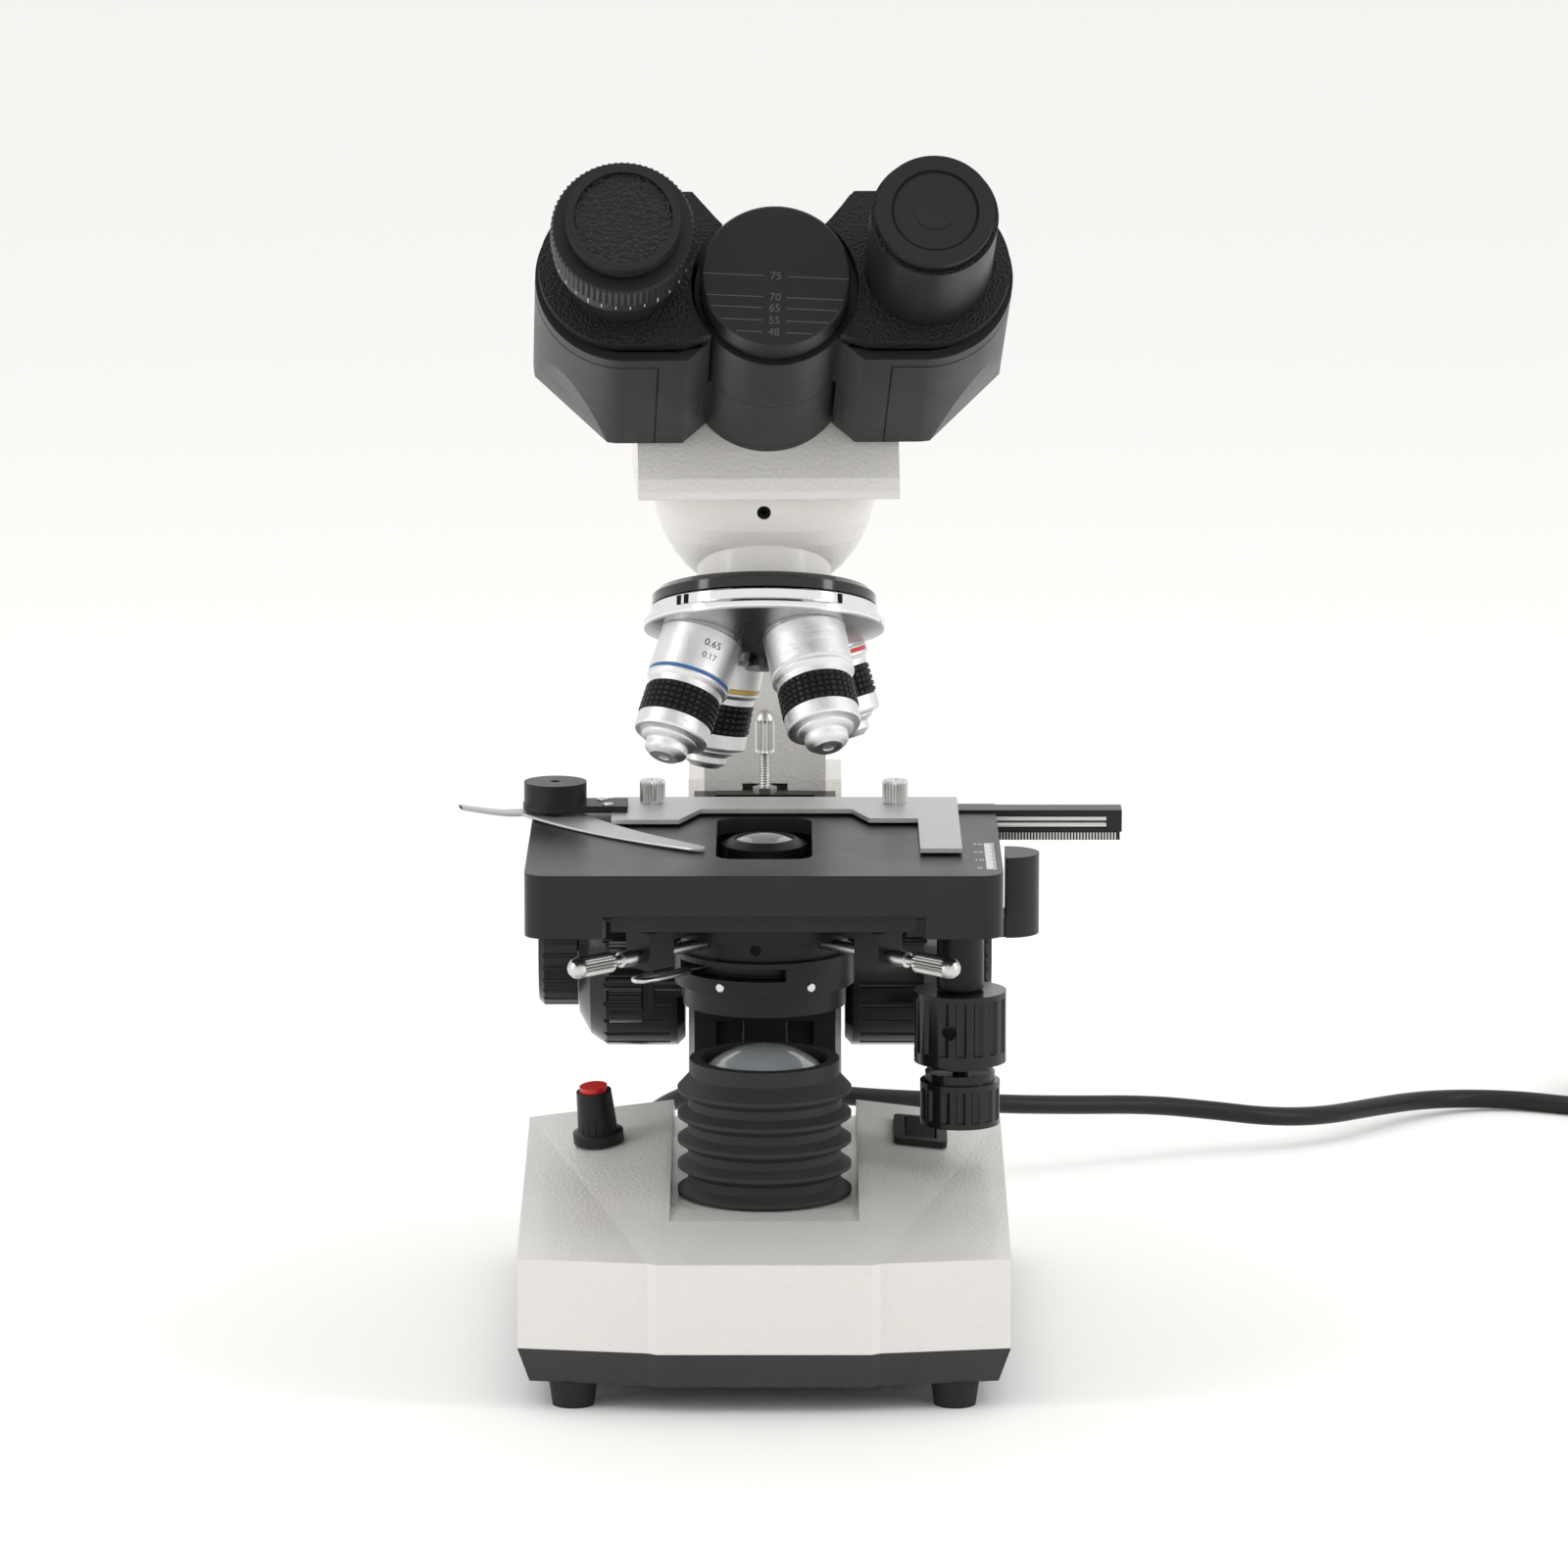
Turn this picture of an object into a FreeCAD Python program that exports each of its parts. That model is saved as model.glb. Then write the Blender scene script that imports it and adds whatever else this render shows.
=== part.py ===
import FreeCAD, Part
import math
import os

# Binocular laboratory microscope. Millimetres; +X right, +Y away from the user, +Z up.
# Origin: on the table, under the optical axis.

Vector = FreeCAD.Vector
X_AXIS = Vector(1, 0, 0)
Y_AXIS = Vector(0, 1, 0)
Z_AXIS = Vector(0, 0, 1)
FULL_TURN = 360

# Clearances
running_gap = 0.05      # radial, a shaft in its hole
slide_gap = 0.15        # between sliding faces
body_gap = 0.4          # between pieces that pass each other

# Base
base_width = 125.0
base_front_y = -64.5
base_rear_y = 122.0
panel_half_width = 27.0
panel_step_y = 7.0
rear_corner_cut = 20.0
foot_height = 7.0
foot_radius = 6.3
foot_bottom_radius = 5.3
foot_inset = 14.0
rear_foot_y = 100.0
seam_z = 16.2
plate_draft = 3.0
crease_z = 39.5
ridge_y = 60.0
ridge_inner_z = 54.5
ridge_outer_z = 49.8
ridge_half_width = 24.5
rear_edge_z = 32.0
shell_wall = 3.0
plate_thickness = 3.0
platform_z = 43.1
platform_front_y = -32.5
platform_half_width = 24.2
boss_radius = 5.0
screw_radius = 1.9
screw_head_radius = 3.2
screw_head_height = 2.2

# Lamp housing
lamp_housing_top_z = 79.0
fin_radius = 22.5
fin_neck_radius = 19.8
fin_count = 5
fin_first_z = 44.4
fin_pitch = 6.67
fin_edge = 1.0
fin_slope = 1.7
ring_radius = 19.35
ring_bore = 16.4
ring_depth = 4.5
lens_cap_height = 7.0
lamp_bore = 13.0
lamp_radius = 2.6
board_thickness = 1.6
board_z = 24.0

# Dimmer and switch
dimmer_x = -43.5
dimmer_y = 33.0
dimmer_skirt_radius = 6.65
dimmer_height = 14.2
dimmer_body_radius = 5.2
dimmer_top_radius = 4.6
dimmer_cap_radius = 3.65
dimmer_cap_height = 1.4
dimmer_shaft_radius = 3.0
switch_x = 40.8
switch_y = 38.0
switch_width = 14.0
switch_length = 20.0
switch_rim = 1.6
switch_depth = 10.0
rocker_width = 7.6
rocker_tilt = 9.0
rocker_pin_radius = 1.0
rocker_pin_reach = 0.8

# Arm and focus
arm_front_y = 70.0
arm_depth = 34.0
arm_half_width = 16.1
arm_foot_half_width = 20.3
arm_waist_z = 132.0
seat_z = 229.6
bowl_radius = 28.5
bowl_height = 30.0
guide_half_width = 18.7
guide_front_y = 60.0
guide_bottom_z = 64.0
guide_top_z = 136.0
guide_rail_width = 5.7
guide_plate = 4.0
focus_y = 85.0
focus_z = 91.7
coarse_radius = 27.0
coarse_inner_x = 21.3
coarse_outer_x = 42.1
coarse_flange_x = 46.4
coarse_cone_x = 49.5
fine_radius = 16.4
fine_outer_x = 60.3
coarse_shaft_radius = 3.2
fine_shaft_radius = 1.8
coarse_socket_depth = 8.0
fine_socket_depth = 6.0
slot_half_width = 6.0
rack_length_below = 20.0
rack_length_above = 32.0
flute_count = 28

# Stage
stage_top_z = 139.4
stage_half_width = 60.0
stage_front_y = -65.0
stage_height = 16.1
stage_slab = 4.0
stage_wall = 3.0
stage_rear_y = 20.2
stage_corner = 6.0
skirt_rear_y = 31.4
hole_half_width = 12.2
hole_front_y = -42.6
hole_rear_y = 13.4
hole_corner = 5.0
skirt_cutout_half_width = 40.5
skirt_cutout_height = 5.7
lower_plate_half_width = 38.5
lower_plate_front_y = -62.0
lower_plate_rear_y = 58.0
lower_plate_bottom_z = stage_top_z - 14.9
lower_plate_thickness = 4.1
lower_hole_radius = 23.5
y_rail_x = 30.0
y_rail_width = 6.0
y_rail_front_y = -33.0
y_rail_rear_y = 4.0
lug_x = 61.2
lug_width = 8.6
lug_front_y = -38.0
lug_length = 16.0
lug_bottom_z = stage_top_z - 21.2
stop_screw_y = 63.0
stop_thread_radius = 1.5
stop_head_radius = 2.6
stop_head_z = stage_top_z + 8.2
stop_top_z = stage_top_z + 19.9
stop_nut_radius = 3.1
stop_nut_height = 1.6
stop_seat_rise = 12.4

# Travel bar, slide holder and stage control
bar_front_y = 20.6
bar_depth = 8.0
bar_bottom_z = stage_top_z - 5.0
bar_top_z = stage_top_z + 0.7
bar_left_x = -39.0
bar_right_x = 92.7
bar_groove_height = 3.2
bar_groove_depth = 1.6
bar_rod_radius = 0.8
bar_rod_sink = 0.15
rack_height = 2.2
holder_thickness = 1.2
holder_left_x = -39.4
holder_right_x = 50.1
holder_rear_y = 33.0
holder_jaw_y = 16.0
holder_shoulder_y = 1.0
holder_arm_x = 39.5
holder_arm_front_y = -38.0
thumbscrew_x = (-29.1, 33.9)
thumbscrew_y = 25.0
thumbscrew_radius = 3.3
thumbscrew_height = 6.0
thumbscrew_stem_radius = 1.5
pivot_x = -54.1
pivot_y = 17.0
pivot_knob_radius = 8.1
pivot_knob_height = 5.5
finger_tip = (-15.5, -33.8)
finger_tail = (-77.6, 10.0)
finger_thickness = 1.2
column_x = 50.8
column_y = 14.0
column_radius = 6.1
column_bottom_z = stage_top_z - 44.8
y_knob_radius = 12.0
y_knob_top_z = stage_top_z - 45.4
y_knob_bottom_z = stage_top_z - 64.1
x_knob_radius = 10.4
x_knob_top_z = stage_top_z - 66.8
x_knob_bottom_z = stage_top_z - 80.6
knob_neck_radius = 9.1

# Condenser
condenser_ring_radius = 23.2
condenser_ring_z = (stage_top_z - 39.8, stage_top_z - 31.1)
condenser_ring_bore = 17.0
condenser_barrel_radius = 21.5
condenser_barrel_top_z = stage_top_z - 20.4
condenser_neck_radius = 16.0
condenser_cone_z = stage_top_z - 10.9
condenser_top_radius = 11.0
condenser_top_z = stage_top_z - 2.6
condenser_glass_radius = 7.6
bracket_ring_z = (stage_top_z - 25.4, stage_top_z - 20.9)
bracket_ring_radius = 27.5
block_radius = 41.0
block_size = 8.6
block_bottom_z = stage_top_z - 30.5
centring_z = stage_top_z - 27.2
centring_angles = (225, 315)
centring_rod_radius = 1.6
centring_head_radius = 2.7
centring_head_length = 12.0
centring_tip_radius = 69.0
condenser_slide_y = 42.0
condenser_slide_half_width = 9.0
condenser_slide_bottom_z = stage_top_z - 55.4
condenser_knob_y = 38.6
condenser_knob_z = 91.0
condenser_knob_radius = 10.7
condenser_knob_x = (-40.7, -32.2)
condenser_shaft_radius = 2.3
tab_thickness = 2.9
iris_angle = 218
iris_length = 44.0
iris_z = stage_top_z - 34.2
iris_wire_radius = 1.0
iris_groove_half = 1.1
iris_slot_lead = 16
iris_slot_span = 82
filter_z = (stage_top_z - 45.6, stage_top_z - 40.2)
filter_radius = 21.0
filter_bore = 16.5
filter_pin_angle = 150
filter_pin_orbit = 21.4
filter_pin_radius = 1.2

# Nosepiece and objectives, measured from the apex where the turret and optical axes cross
apex_z = 237.8
turret_tilt = 20.0
objective_cone = 20.0
turret_rest_angle = 33.0
cap_start = 37.0
cap_radius = 28.5
cap_end = 41.0
ring_end = 44.6
rim_radius = 30.5
rim_end = 47.0
turret_pin_radius = 5.0
socket_start = 54.6
boss_start = 50.0
socket_radius = 8.0
spigot_length = 4.0
objective_radius = 10.5
objective_neck_radius = 9.5
grip_radius = 9.6
nose_radius = 7.25
front_radius = 5.45
front_lens_radius = 1.4
objective_tips = (87.0, 88.0, 83.0, 77.0)
grip_length = 7.6
end_ring_length = 4.2
nose_step_length = 2.2
nose_length = 4.4

# Head
head_height = 247.6
head_yaw = 2.3
tube_elevation = 30.0
head_half_width = 32.9
head_half_depth = 33.0
head_flange_height = 5.2
head_top_z = 278.0
head_spigot_radius = 20.7
head_spigot_depth = 7.0
mount_face = 21.4
hub_radius = 19.8
hub_clear_radius = 20.6
hub_start = 24.0
hub_seam = 51.3
housing_end = 78.4
plate_front = 82.4
disc_front = 88.8
disc_radius = 18.5
hinge_pin_radius = 9.0
hinge_bore = 7.0
eye_offset_x = 37.8
eye_offset_up = 4.7
housing_radius = 20.3
housing_wall = 2.4
housing_step = -0.8       # negative: the housings stand proud of the face plates
housing_sink = 2.0        # the housings also reach lower
facet_depth = 3.0         # rear outer corner of each housing, trimmed flat
facet_length = 24.0
tube_radius = 15.5
tube_end = 113.6
eyepiece_radius = 11.6
eyepiece_bore = 8.0
eyepiece_depth = 26.0
cap_rise = 1.0
right_cap_front = 117.1
right_cap_radius = 14.5
diopter_radius = 17.6
diopter_start = 94.3
diopter_end = 107.7
inner_tube_radius = 13.4
left_cap_front = 113.7
left_cap_radius = 14.0
prism_size = 22.0

# Mains lead
cord_radius = 2.7
gland_x = -36.0
gland_z = 21.0
gland_radius = 6.0
cord_route = [
    (-36.0, 148.0, 21.0), (-35.0, 170.0, 24.0), (-22.0, 190.0, 28.0), (0.0, 199.0, 27.0),
    (26.0, 200.0, 24.0), (48.0, 202.0, 22.5), (66.0, 207.0, 20.5), (86.0, 217.0, 18.0),
    (109.0, 229.0, 15.5), (127.0, 235.0, 12.5), (144.0, 239.0, 9.6), (160.0, 248.0, 7.8),
    (177.0, 268.0, 6.2), (190.0, 282.0, 4.9), (204.0, 290.5, 3.6), (220.0, 291.5, 2.9),
    (236.0, 284.0, 2.75), (248.2, 279.4, 2.75),
]
coil_centre = (274.6, 301.6)
coil_mid_radius = 30.0
coil_band = 11.0
coil_height = 16.5
plug_length = 34.0
plug_width = 25.0
plug_height = 17.0


def turned(shape, centre, axis, angle):
    """A copy of the shape, turned in degrees about an axis through a point."""
    copy = shape.copy()
    copy.rotate(Vector(*centre), axis, angle)
    return copy


def block(x_range, y_range, z_range):
    size = [high - low for low, high in (x_range, y_range, z_range)]
    return Part.makeBox(*size, Vector(x_range[0], y_range[0], z_range[0]))


def rounded_block(x_range, y_range, z_range, radius):
    """A block with its four upright edges rounded."""
    solid = block(x_range, y_range, z_range)
    upright = [edge for edge in solid.Edges if edge.tangentAt(0).cross(Z_AXIS).Length < 1e-6]
    return solid.makeFillet(radius, upright)


def rod(radius, start, end):
    """A cylinder from one point to another."""
    path = Vector(*end) - Vector(*start)
    return Part.makeCylinder(radius, path.Length, Vector(*start), path)


def cone(radius_a, radius_b, start, end):
    path = Vector(*end) - Vector(*start)
    return Part.makeCone(radius_a, radius_b, path.Length, Vector(*start), path)


def ring(outer, inner, low, high):
    """A tube about Z between two heights."""
    over = 1.0
    hole = rod(inner, (0, 0, low - over), (0, 0, high + over))
    return rod(outer, (0, 0, low), (0, 0, high)).cut(hole)


def sector(inner, outer, span, low, high):
    """Part of a ring, from +X round by an angle in degrees."""
    wedge = Part.makeCylinder(outer, high - low, Vector(0, 0, low), Z_AXIS, span)
    return wedge.cut(rod(inner, (0, 0, low - 1), (0, 0, high + 1)))


def lathe(profile):
    """Turns a closed outline of (radius, height) points about Z."""
    points = [Vector(radius, 0, height) for radius, height in profile]
    outline = Part.makePolygon(points + points[:1])
    return Part.Face(outline).revolve(Vector(0, 0, 0), Z_AXIS, FULL_TURN)


def along(shape, start, direction):
    """Puts a shape made about Z at a point, with its Z along a direction."""
    copy = shape.copy()
    place = FreeCAD.Placement(Vector(*start), FreeCAD.Rotation(Z_AXIS, Vector(*direction)))
    copy.Placement = place.multiply(copy.Placement)
    return copy


def plan_prism(points, low, high):
    corners = [Vector(x, y, low) for x, y in points]
    return Part.Face(Part.makePolygon(corners + corners[:1])).extrude(Vector(0, 0, high - low))


def side_prism(points, x_low, x_high):
    """Extrudes an outline of (y, z) points along X."""
    corners = [Vector(x_low, y, z) for y, z in points]
    return Part.Face(Part.makePolygon(corners + corners[:1])).extrude(Vector(x_high - x_low, 0, 0))


def fluted(body, radius, count, flute_radius, low, high):
    """Cuts straight flutes into the outside of a body turned about Z."""
    for index in range(count):
        angle = 2 * math.pi * index / count
        orbit = radius + flute_radius * 0.45
        centre = (orbit * math.cos(angle), orbit * math.sin(angle))
        body = body.cut(rod(flute_radius, (*centre, low), (*centre, high)))
    return body


def mirrored(shape):
    return shape.mirror(Vector(0, 0, 0), X_AXIS)


def save(name, *shapes):
    shape = shapes[0] if len(shapes) == 1 else Part.makeCompound(list(shapes))
    shape.exportStep(os.path.join("parts", name + ".step"))


# ---------------------------------------------------------------- base

def base_outline(inset):
    """The faceted plan of the base, moved in by a distance."""
    side = base_width / 2 - inset
    front = base_front_y + inset
    rear = base_rear_y - inset
    half = [
        (panel_half_width, front),
        (panel_half_width + 2.4, front + 1.6),
        (side, front + panel_step_y),
        (side, rear - rear_corner_cut / 2),
        (side - rear_corner_cut, rear),
    ]
    return half + [(-x, y) for x, y in reversed(half)]


def base_block(inset, drop, bottom):
    """The solid under the faceted roof: front panel, two wings, a ridge and a rear slope."""
    outline = base_outline(inset)
    low = [Vector(x, y, bottom) for x, y in outline]
    wing = [crease_z - drop] * 3 + [rear_edge_z - drop] * 2
    heights = wing + wing[::-1]
    top = [Vector(x, y, z) for (x, y), z in zip(outline, heights)]
    side = base_width / 2 - inset
    ridge = [
        Vector(side, ridge_y, ridge_outer_z - drop),
        Vector(ridge_half_width, ridge_y, ridge_inner_z - drop),
        Vector(-ridge_half_width, ridge_y, ridge_inner_z - drop),
        Vector(-side, ridge_y, ridge_outer_z - drop),
    ]
    ridge_low = [Vector(side, ridge_y, bottom), Vector(-side, ridge_y, bottom)]
    loops = [[low[0], low[1], low[2], ridge_low[0], low[3], low[4],
              low[5], low[6], ridge_low[1], low[7], low[8], low[9]]]
    loops += [[low[i], low[i + 1], top[i + 1], top[i]] for i in (0, 1, 3, 4, 5, 7, 8)]
    loops += [[low[9], low[0], top[0], top[9]]]
    loops += [[low[2], ridge_low[0], ridge[0], top[2]], [ridge_low[0], low[3], top[3], ridge[0]]]
    loops += [[low[6], ridge_low[1], ridge[3], top[6]], [ridge_low[1], low[7], top[7], ridge[3]]]
    loops += [[top[0], top[1], ridge[1]], [top[1], top[2], ridge[0]], [top[1], ridge[0], ridge[1]]]
    loops += [[top[9], top[8], ridge[2]], [top[8], top[7], ridge[3]], [top[8], ridge[3], ridge[2]]]
    loops += [[top[9], top[0], ridge[1], ridge[2]]]
    loops += [[ridge[0], top[3], top[4]], [ridge[0], top[4], ridge[1]]]
    loops += [[ridge[3], top[6], top[5]], [ridge[3], top[5], ridge[2]]]
    loops += [[ridge[1], top[4], top[5], ridge[2]]]
    faces = [Part.Face(Part.makePolygon(loop + loop[:1])) for loop in loops]
    return Part.Solid(Part.Shell(faces))


def wing_height(x, y):
    """Height of a wing's front facet under a point."""
    share = (abs(x) - ridge_half_width) / (base_width / 2 - ridge_half_width)
    ridge_height = ridge_inner_z + (ridge_outer_z - ridge_inner_z) * share
    along_wing = (y - base_front_y - panel_step_y) / (ridge_y - base_front_y - panel_step_y)
    return crease_z + (ridge_height - crease_z) * along_wing


def wing_normal(side):
    """Outward normal of a wing where the controls stand."""
    step = 1.0
    x = side * (dimmer_x if dimmer_x > 0 else -dimmer_x)
    rise_x = (wing_height(x + step, dimmer_y) - wing_height(x - step, dimmer_y)) / (2 * step)
    rise_y = (wing_height(x, dimmer_y + step) - wing_height(x, dimmer_y - step)) / (2 * step)
    return Vector(-rise_x, -rise_y, 1).normalize()


def foot_places():
    x = base_width / 2 - foot_inset
    return [(x, base_front_y + foot_inset), (-x, base_front_y + foot_inset), (x, rear_foot_y),
            (-x, rear_foot_y)]


def foot_screw_top():
    return seam_z + 10.0


def arm_foot_y():
    return arm_front_y - 4.0


def base_shell():
    shell = base_block(0, 0, seam_z)
    inner = base_block(shell_wall, shell_wall, seam_z - shell_wall)
    ceiling = platform_z - shell_wall
    guard = platform_half_width + shell_wall
    inner = inner.cut(block((-guard, guard), (base_front_y, base_rear_y), (ceiling, ridge_inner_z)))
    for x, y in foot_places():
        inner = inner.cut(rod(boss_radius, (x, y, 0), (x, y, crease_z)))
    shell = shell.cut(inner)
    shell = shell.cut(block((-platform_half_width, platform_half_width),
                            (platform_front_y, base_rear_y + 1), (platform_z, ridge_inner_z + 1)))
    shell = shell.cut(rod(lamp_bore, (0, 0, ceiling - 1), (0, 0, platform_z + 1)))
    for x, y in foot_places():
        shell = shell.cut(rod(screw_radius + running_gap, (x, y, 0), (x, y, foot_screw_top() + 1)))
    hole = rod(dimmer_shaft_radius + running_gap, (0, 0, -20), (0, 0, 20))
    shell = shell.cut(along(hole, control_seat(dimmer_x, dimmer_y), wing_normal(-1)))
    shell = shell.cut(placed_switch(switch_body(slide_gap)))
    shell = shell.cut(placed_switch(switch_rim_block(4.0)))
    gland_hole = rod(gland_radius - 2 + running_gap, (gland_x, base_rear_y - 9, gland_z),
                     (gland_x, base_rear_y + 1, gland_z))
    return shell.cut(gland_hole)


def control_seat(x, y):
    return (x, y, wing_height(x, y))


def bottom_plate():
    """Black tray under the casting, drawn in towards its bottom."""
    low = [Vector(x, y, foot_height) for x, y in base_outline(plate_draft)]
    high = [Vector(x, y, seam_z) for x, y in base_outline(0)]
    wires = [Part.makePolygon(points + points[:1]) for points in (low, high)]
    tray = Part.makeLoft(wires, True, True)
    hollow = plan_prism(base_outline(plate_draft + shell_wall), foot_height + plate_thickness, seam_z + 1)
    for x, y in foot_places():
        hollow = hollow.cut(rod(boss_radius, (x, y, 0), (x, y, seam_z + 1)))
    tray = tray.cut(hollow)
    for x, y in foot_places():
        tray = tray.cut(rod(screw_radius + running_gap, (x, y, 0), (x, y, seam_z + 1)))
    return tray


def rubber_foot(x, y):
    recess = screw_head_height + 2.0
    foot = cone(foot_bottom_radius, foot_radius, (x, y, 0), (x, y, foot_height))
    foot = foot.cut(rod(screw_head_radius + running_gap, (x, y, 0), (x, y, recess)))
    return foot.cut(rod(screw_radius + running_gap, (x, y, 0), (x, y, foot_height)))


def foot_screw(x, y):
    head_low = 2.0
    head_high = head_low + screw_head_height
    shank = rod(screw_radius, (x, y, head_high), (x, y, foot_screw_top()))
    return rod(screw_head_radius, (x, y, head_low), (x, y, head_high)).fuse(shank)


# ---------------------------------------------------------------- lamp

def illuminator_housing():
    """Finned barrel: thin bevelled fins on a neck, with a plain ring on top."""
    profile = [(lamp_bore, platform_z), (fin_neck_radius, platform_z)]
    for index in range(fin_count):
        middle = fin_first_z + index * fin_pitch
        low = max(middle - fin_edge / 2, platform_z + 0.1)
        profile.append((fin_neck_radius, max(low - fin_slope, platform_z + 0.05)))
        profile += [(fin_radius, low), (fin_radius, middle + fin_edge / 2)]
        if index < fin_count - 1:
            profile.append((fin_neck_radius, middle + fin_edge / 2 + fin_slope))
    last = fin_first_z + (fin_count - 1) * fin_pitch
    profile += [(ring_radius, last + fin_edge / 2 + 2 * fin_slope), (ring_radius, lamp_housing_top_z)]
    profile += [(ring_bore, lamp_housing_top_z), (ring_bore, lamp_housing_top_z - ring_depth)]
    profile += [(lamp_bore, lamp_housing_top_z - ring_depth)]
    return lathe(profile)


def collector_lens():
    seat = lamp_housing_top_z - ring_depth
    edge = ring_bore - running_gap
    edge_height = 1.0
    sphere_radius = (edge ** 2 + lens_cap_height ** 2) / (2 * lens_cap_height)
    base = seat + edge_height
    ball = Part.makeSphere(sphere_radius, Vector(0, 0, base + lens_cap_height - sphere_radius))
    dome = ball.common(rod(edge, (0, 0, base), (0, 0, base + lens_cap_height)))
    return dome.fuse(rod(edge, (0, 0, seat), (0, 0, base)))


def power_board():
    half_length = 34.0
    half_width = 24.0
    board = block((-half_length, half_length), (-half_width, half_width),
                  (board_z, board_z + board_thickness))
    parts = [block((-26, -10), (-18, 2), (board_z + board_thickness, board_z + 13))]
    parts += [rod(4.5, (x, 12, board_z + board_thickness), (x, 12, board_z + 13)) for x in (-20, 20)]
    legs = [rod(2.5, (x, y, foot_height + plate_thickness), (x, y, board_z))
            for x in (-28, 28) for y in (-19, 19)]
    return board.multiFuse(parts + legs)


def lamp():
    """Lamp capsule on its post, standing on the board."""
    base = board_z + board_thickness
    post = rod(6.0, (0, 0, base), (0, 0, 52.0))
    bulb = rod(lamp_radius, (0, 0, 52.0), (0, 0, 62.0)).fuse(Part.makeSphere(lamp_radius,
                                                                             Vector(0, 0, 62.0)))
    return post.fuse(bulb)


# ---------------------------------------------------------------- controls on the base

def dimmer_knob():
    skirt_height = 3.0
    rise = 0.3
    profile = [(0, rise), (dimmer_skirt_radius, rise), (dimmer_skirt_radius, skirt_height),
               (dimmer_body_radius, skirt_height + 0.6), (dimmer_top_radius, dimmer_height), (0,
                                                                                              dimmer_height)]
    knob = fluted(lathe(profile), dimmer_body_radius, 16, 0.5, skirt_height + 0.6, dimmer_height)
    knob = knob.fuse(rod(dimmer_shaft_radius, (0, 0, -7), (0, 0, rise)))
    seat = rod(dimmer_cap_radius - 0.4, (0, 0, dimmer_height - 1.0), (0, 0, dimmer_height))
    return along(knob.cut(seat), control_seat(dimmer_x, dimmer_y), wing_normal(-1))


def dimmer_cap():
    stem = rod(dimmer_cap_radius - 0.4 - running_gap, (0, 0, dimmer_height - 1.0), (0, 0, dimmer_height))
    disc = rod(dimmer_cap_radius, (0, 0, dimmer_height), (0, 0, dimmer_height + dimmer_cap_height))
    return along(disc.fuse(stem), control_seat(dimmer_x, dimmer_y), wing_normal(-1))


def switch_body(grow):
    """The part of the switch that sits in the casting's hole."""
    half_width = switch_width / 2 - switch_rim + grow
    half_length = switch_length / 2 - switch_rim + grow
    return block((-half_width, half_width), (-half_length, half_length), (-switch_depth, switch_depth / 2))


def placed_switch(shape):
    return along(shape, control_seat(switch_x, switch_y), wing_normal(1))


def switch_rim_block(height):
    half_width = switch_width / 2
    half_length = switch_length / 2
    return rounded_block((-half_width, half_width), (-half_length, half_length), (0, height), 1.5)


def switch_bezel():
    body = switch_body(0).common(block((-switch_width, switch_width), (-switch_length, switch_length),
                                       (-switch_depth, 0)))
    rim = switch_rim_block(1.8)
    pocket = block((-rocker_width / 2 - body_gap, rocker_width / 2 + body_gap),
                   (-switch_length / 2 + 2.4, switch_length / 2 - 2.4), (-switch_depth + 1.5, 2.0))
    bezel = body.fuse(rim).cut(pocket)
    return placed_switch(bezel.cut(rocker_pin(running_gap)))


def rocker_pin(grow):
    """Cross pin that the rocker tips on, a little into the bezel at each side."""
    reach = rocker_width / 2 + body_gap + rocker_pin_reach + grow
    return rod(rocker_pin_radius + grow, (-reach, 0, 0), (reach, 0, 0))


def switch_rocker():
    """A shallow vee on a cross pin, tipped to one side."""
    half_length = switch_length / 2 - 3.4
    points = [(-half_length, -1.0), (0, -4.0), (half_length, -1.0), (half_length, 1.6), (0, 1.2),
              (-half_length, 1.6)]
    vee = side_prism(points, -rocker_width / 2, rocker_width / 2)
    return placed_switch(turned(vee.fuse(rocker_pin(0)), (0, 0, 0), X_AXIS, rocker_tilt))


# ---------------------------------------------------------------- arm

def turret_direction():
    tilt = math.radians(turret_tilt)
    return Vector(0, -math.sin(tilt), -math.cos(tilt))


def from_apex(shape):
    """Puts a shape made about Z on the turret axis, Z pointing down to the stage."""
    return along(shape, (0, 0, apex_z), turret_direction())


def arm_column():
    """C-shaped arm seen from the side, with a wider foot."""
    rear = arm_front_y + arm_depth
    upper = [(arm_front_y, platform_z), (arm_front_y, 172), (64, 188), (50, 198), (24, 204), (0, 206),
             (0, seat_z), (46, seat_z), (70, 224), (90, 208), (rear, 184), (rear, platform_z)]
    foot = [(arm_foot_y(), platform_z), (arm_foot_y(), 60), (arm_front_y, guide_bottom_z),
            (arm_front_y, arm_waist_z),
            (arm_front_y + 6, arm_waist_z + 6), (rear + 2, arm_waist_z + 6), (rear + 6, platform_z)]
    return side_prism(upper, -arm_half_width, arm_half_width).fuse(
        side_prism(foot, -arm_foot_half_width, arm_foot_half_width))


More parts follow.
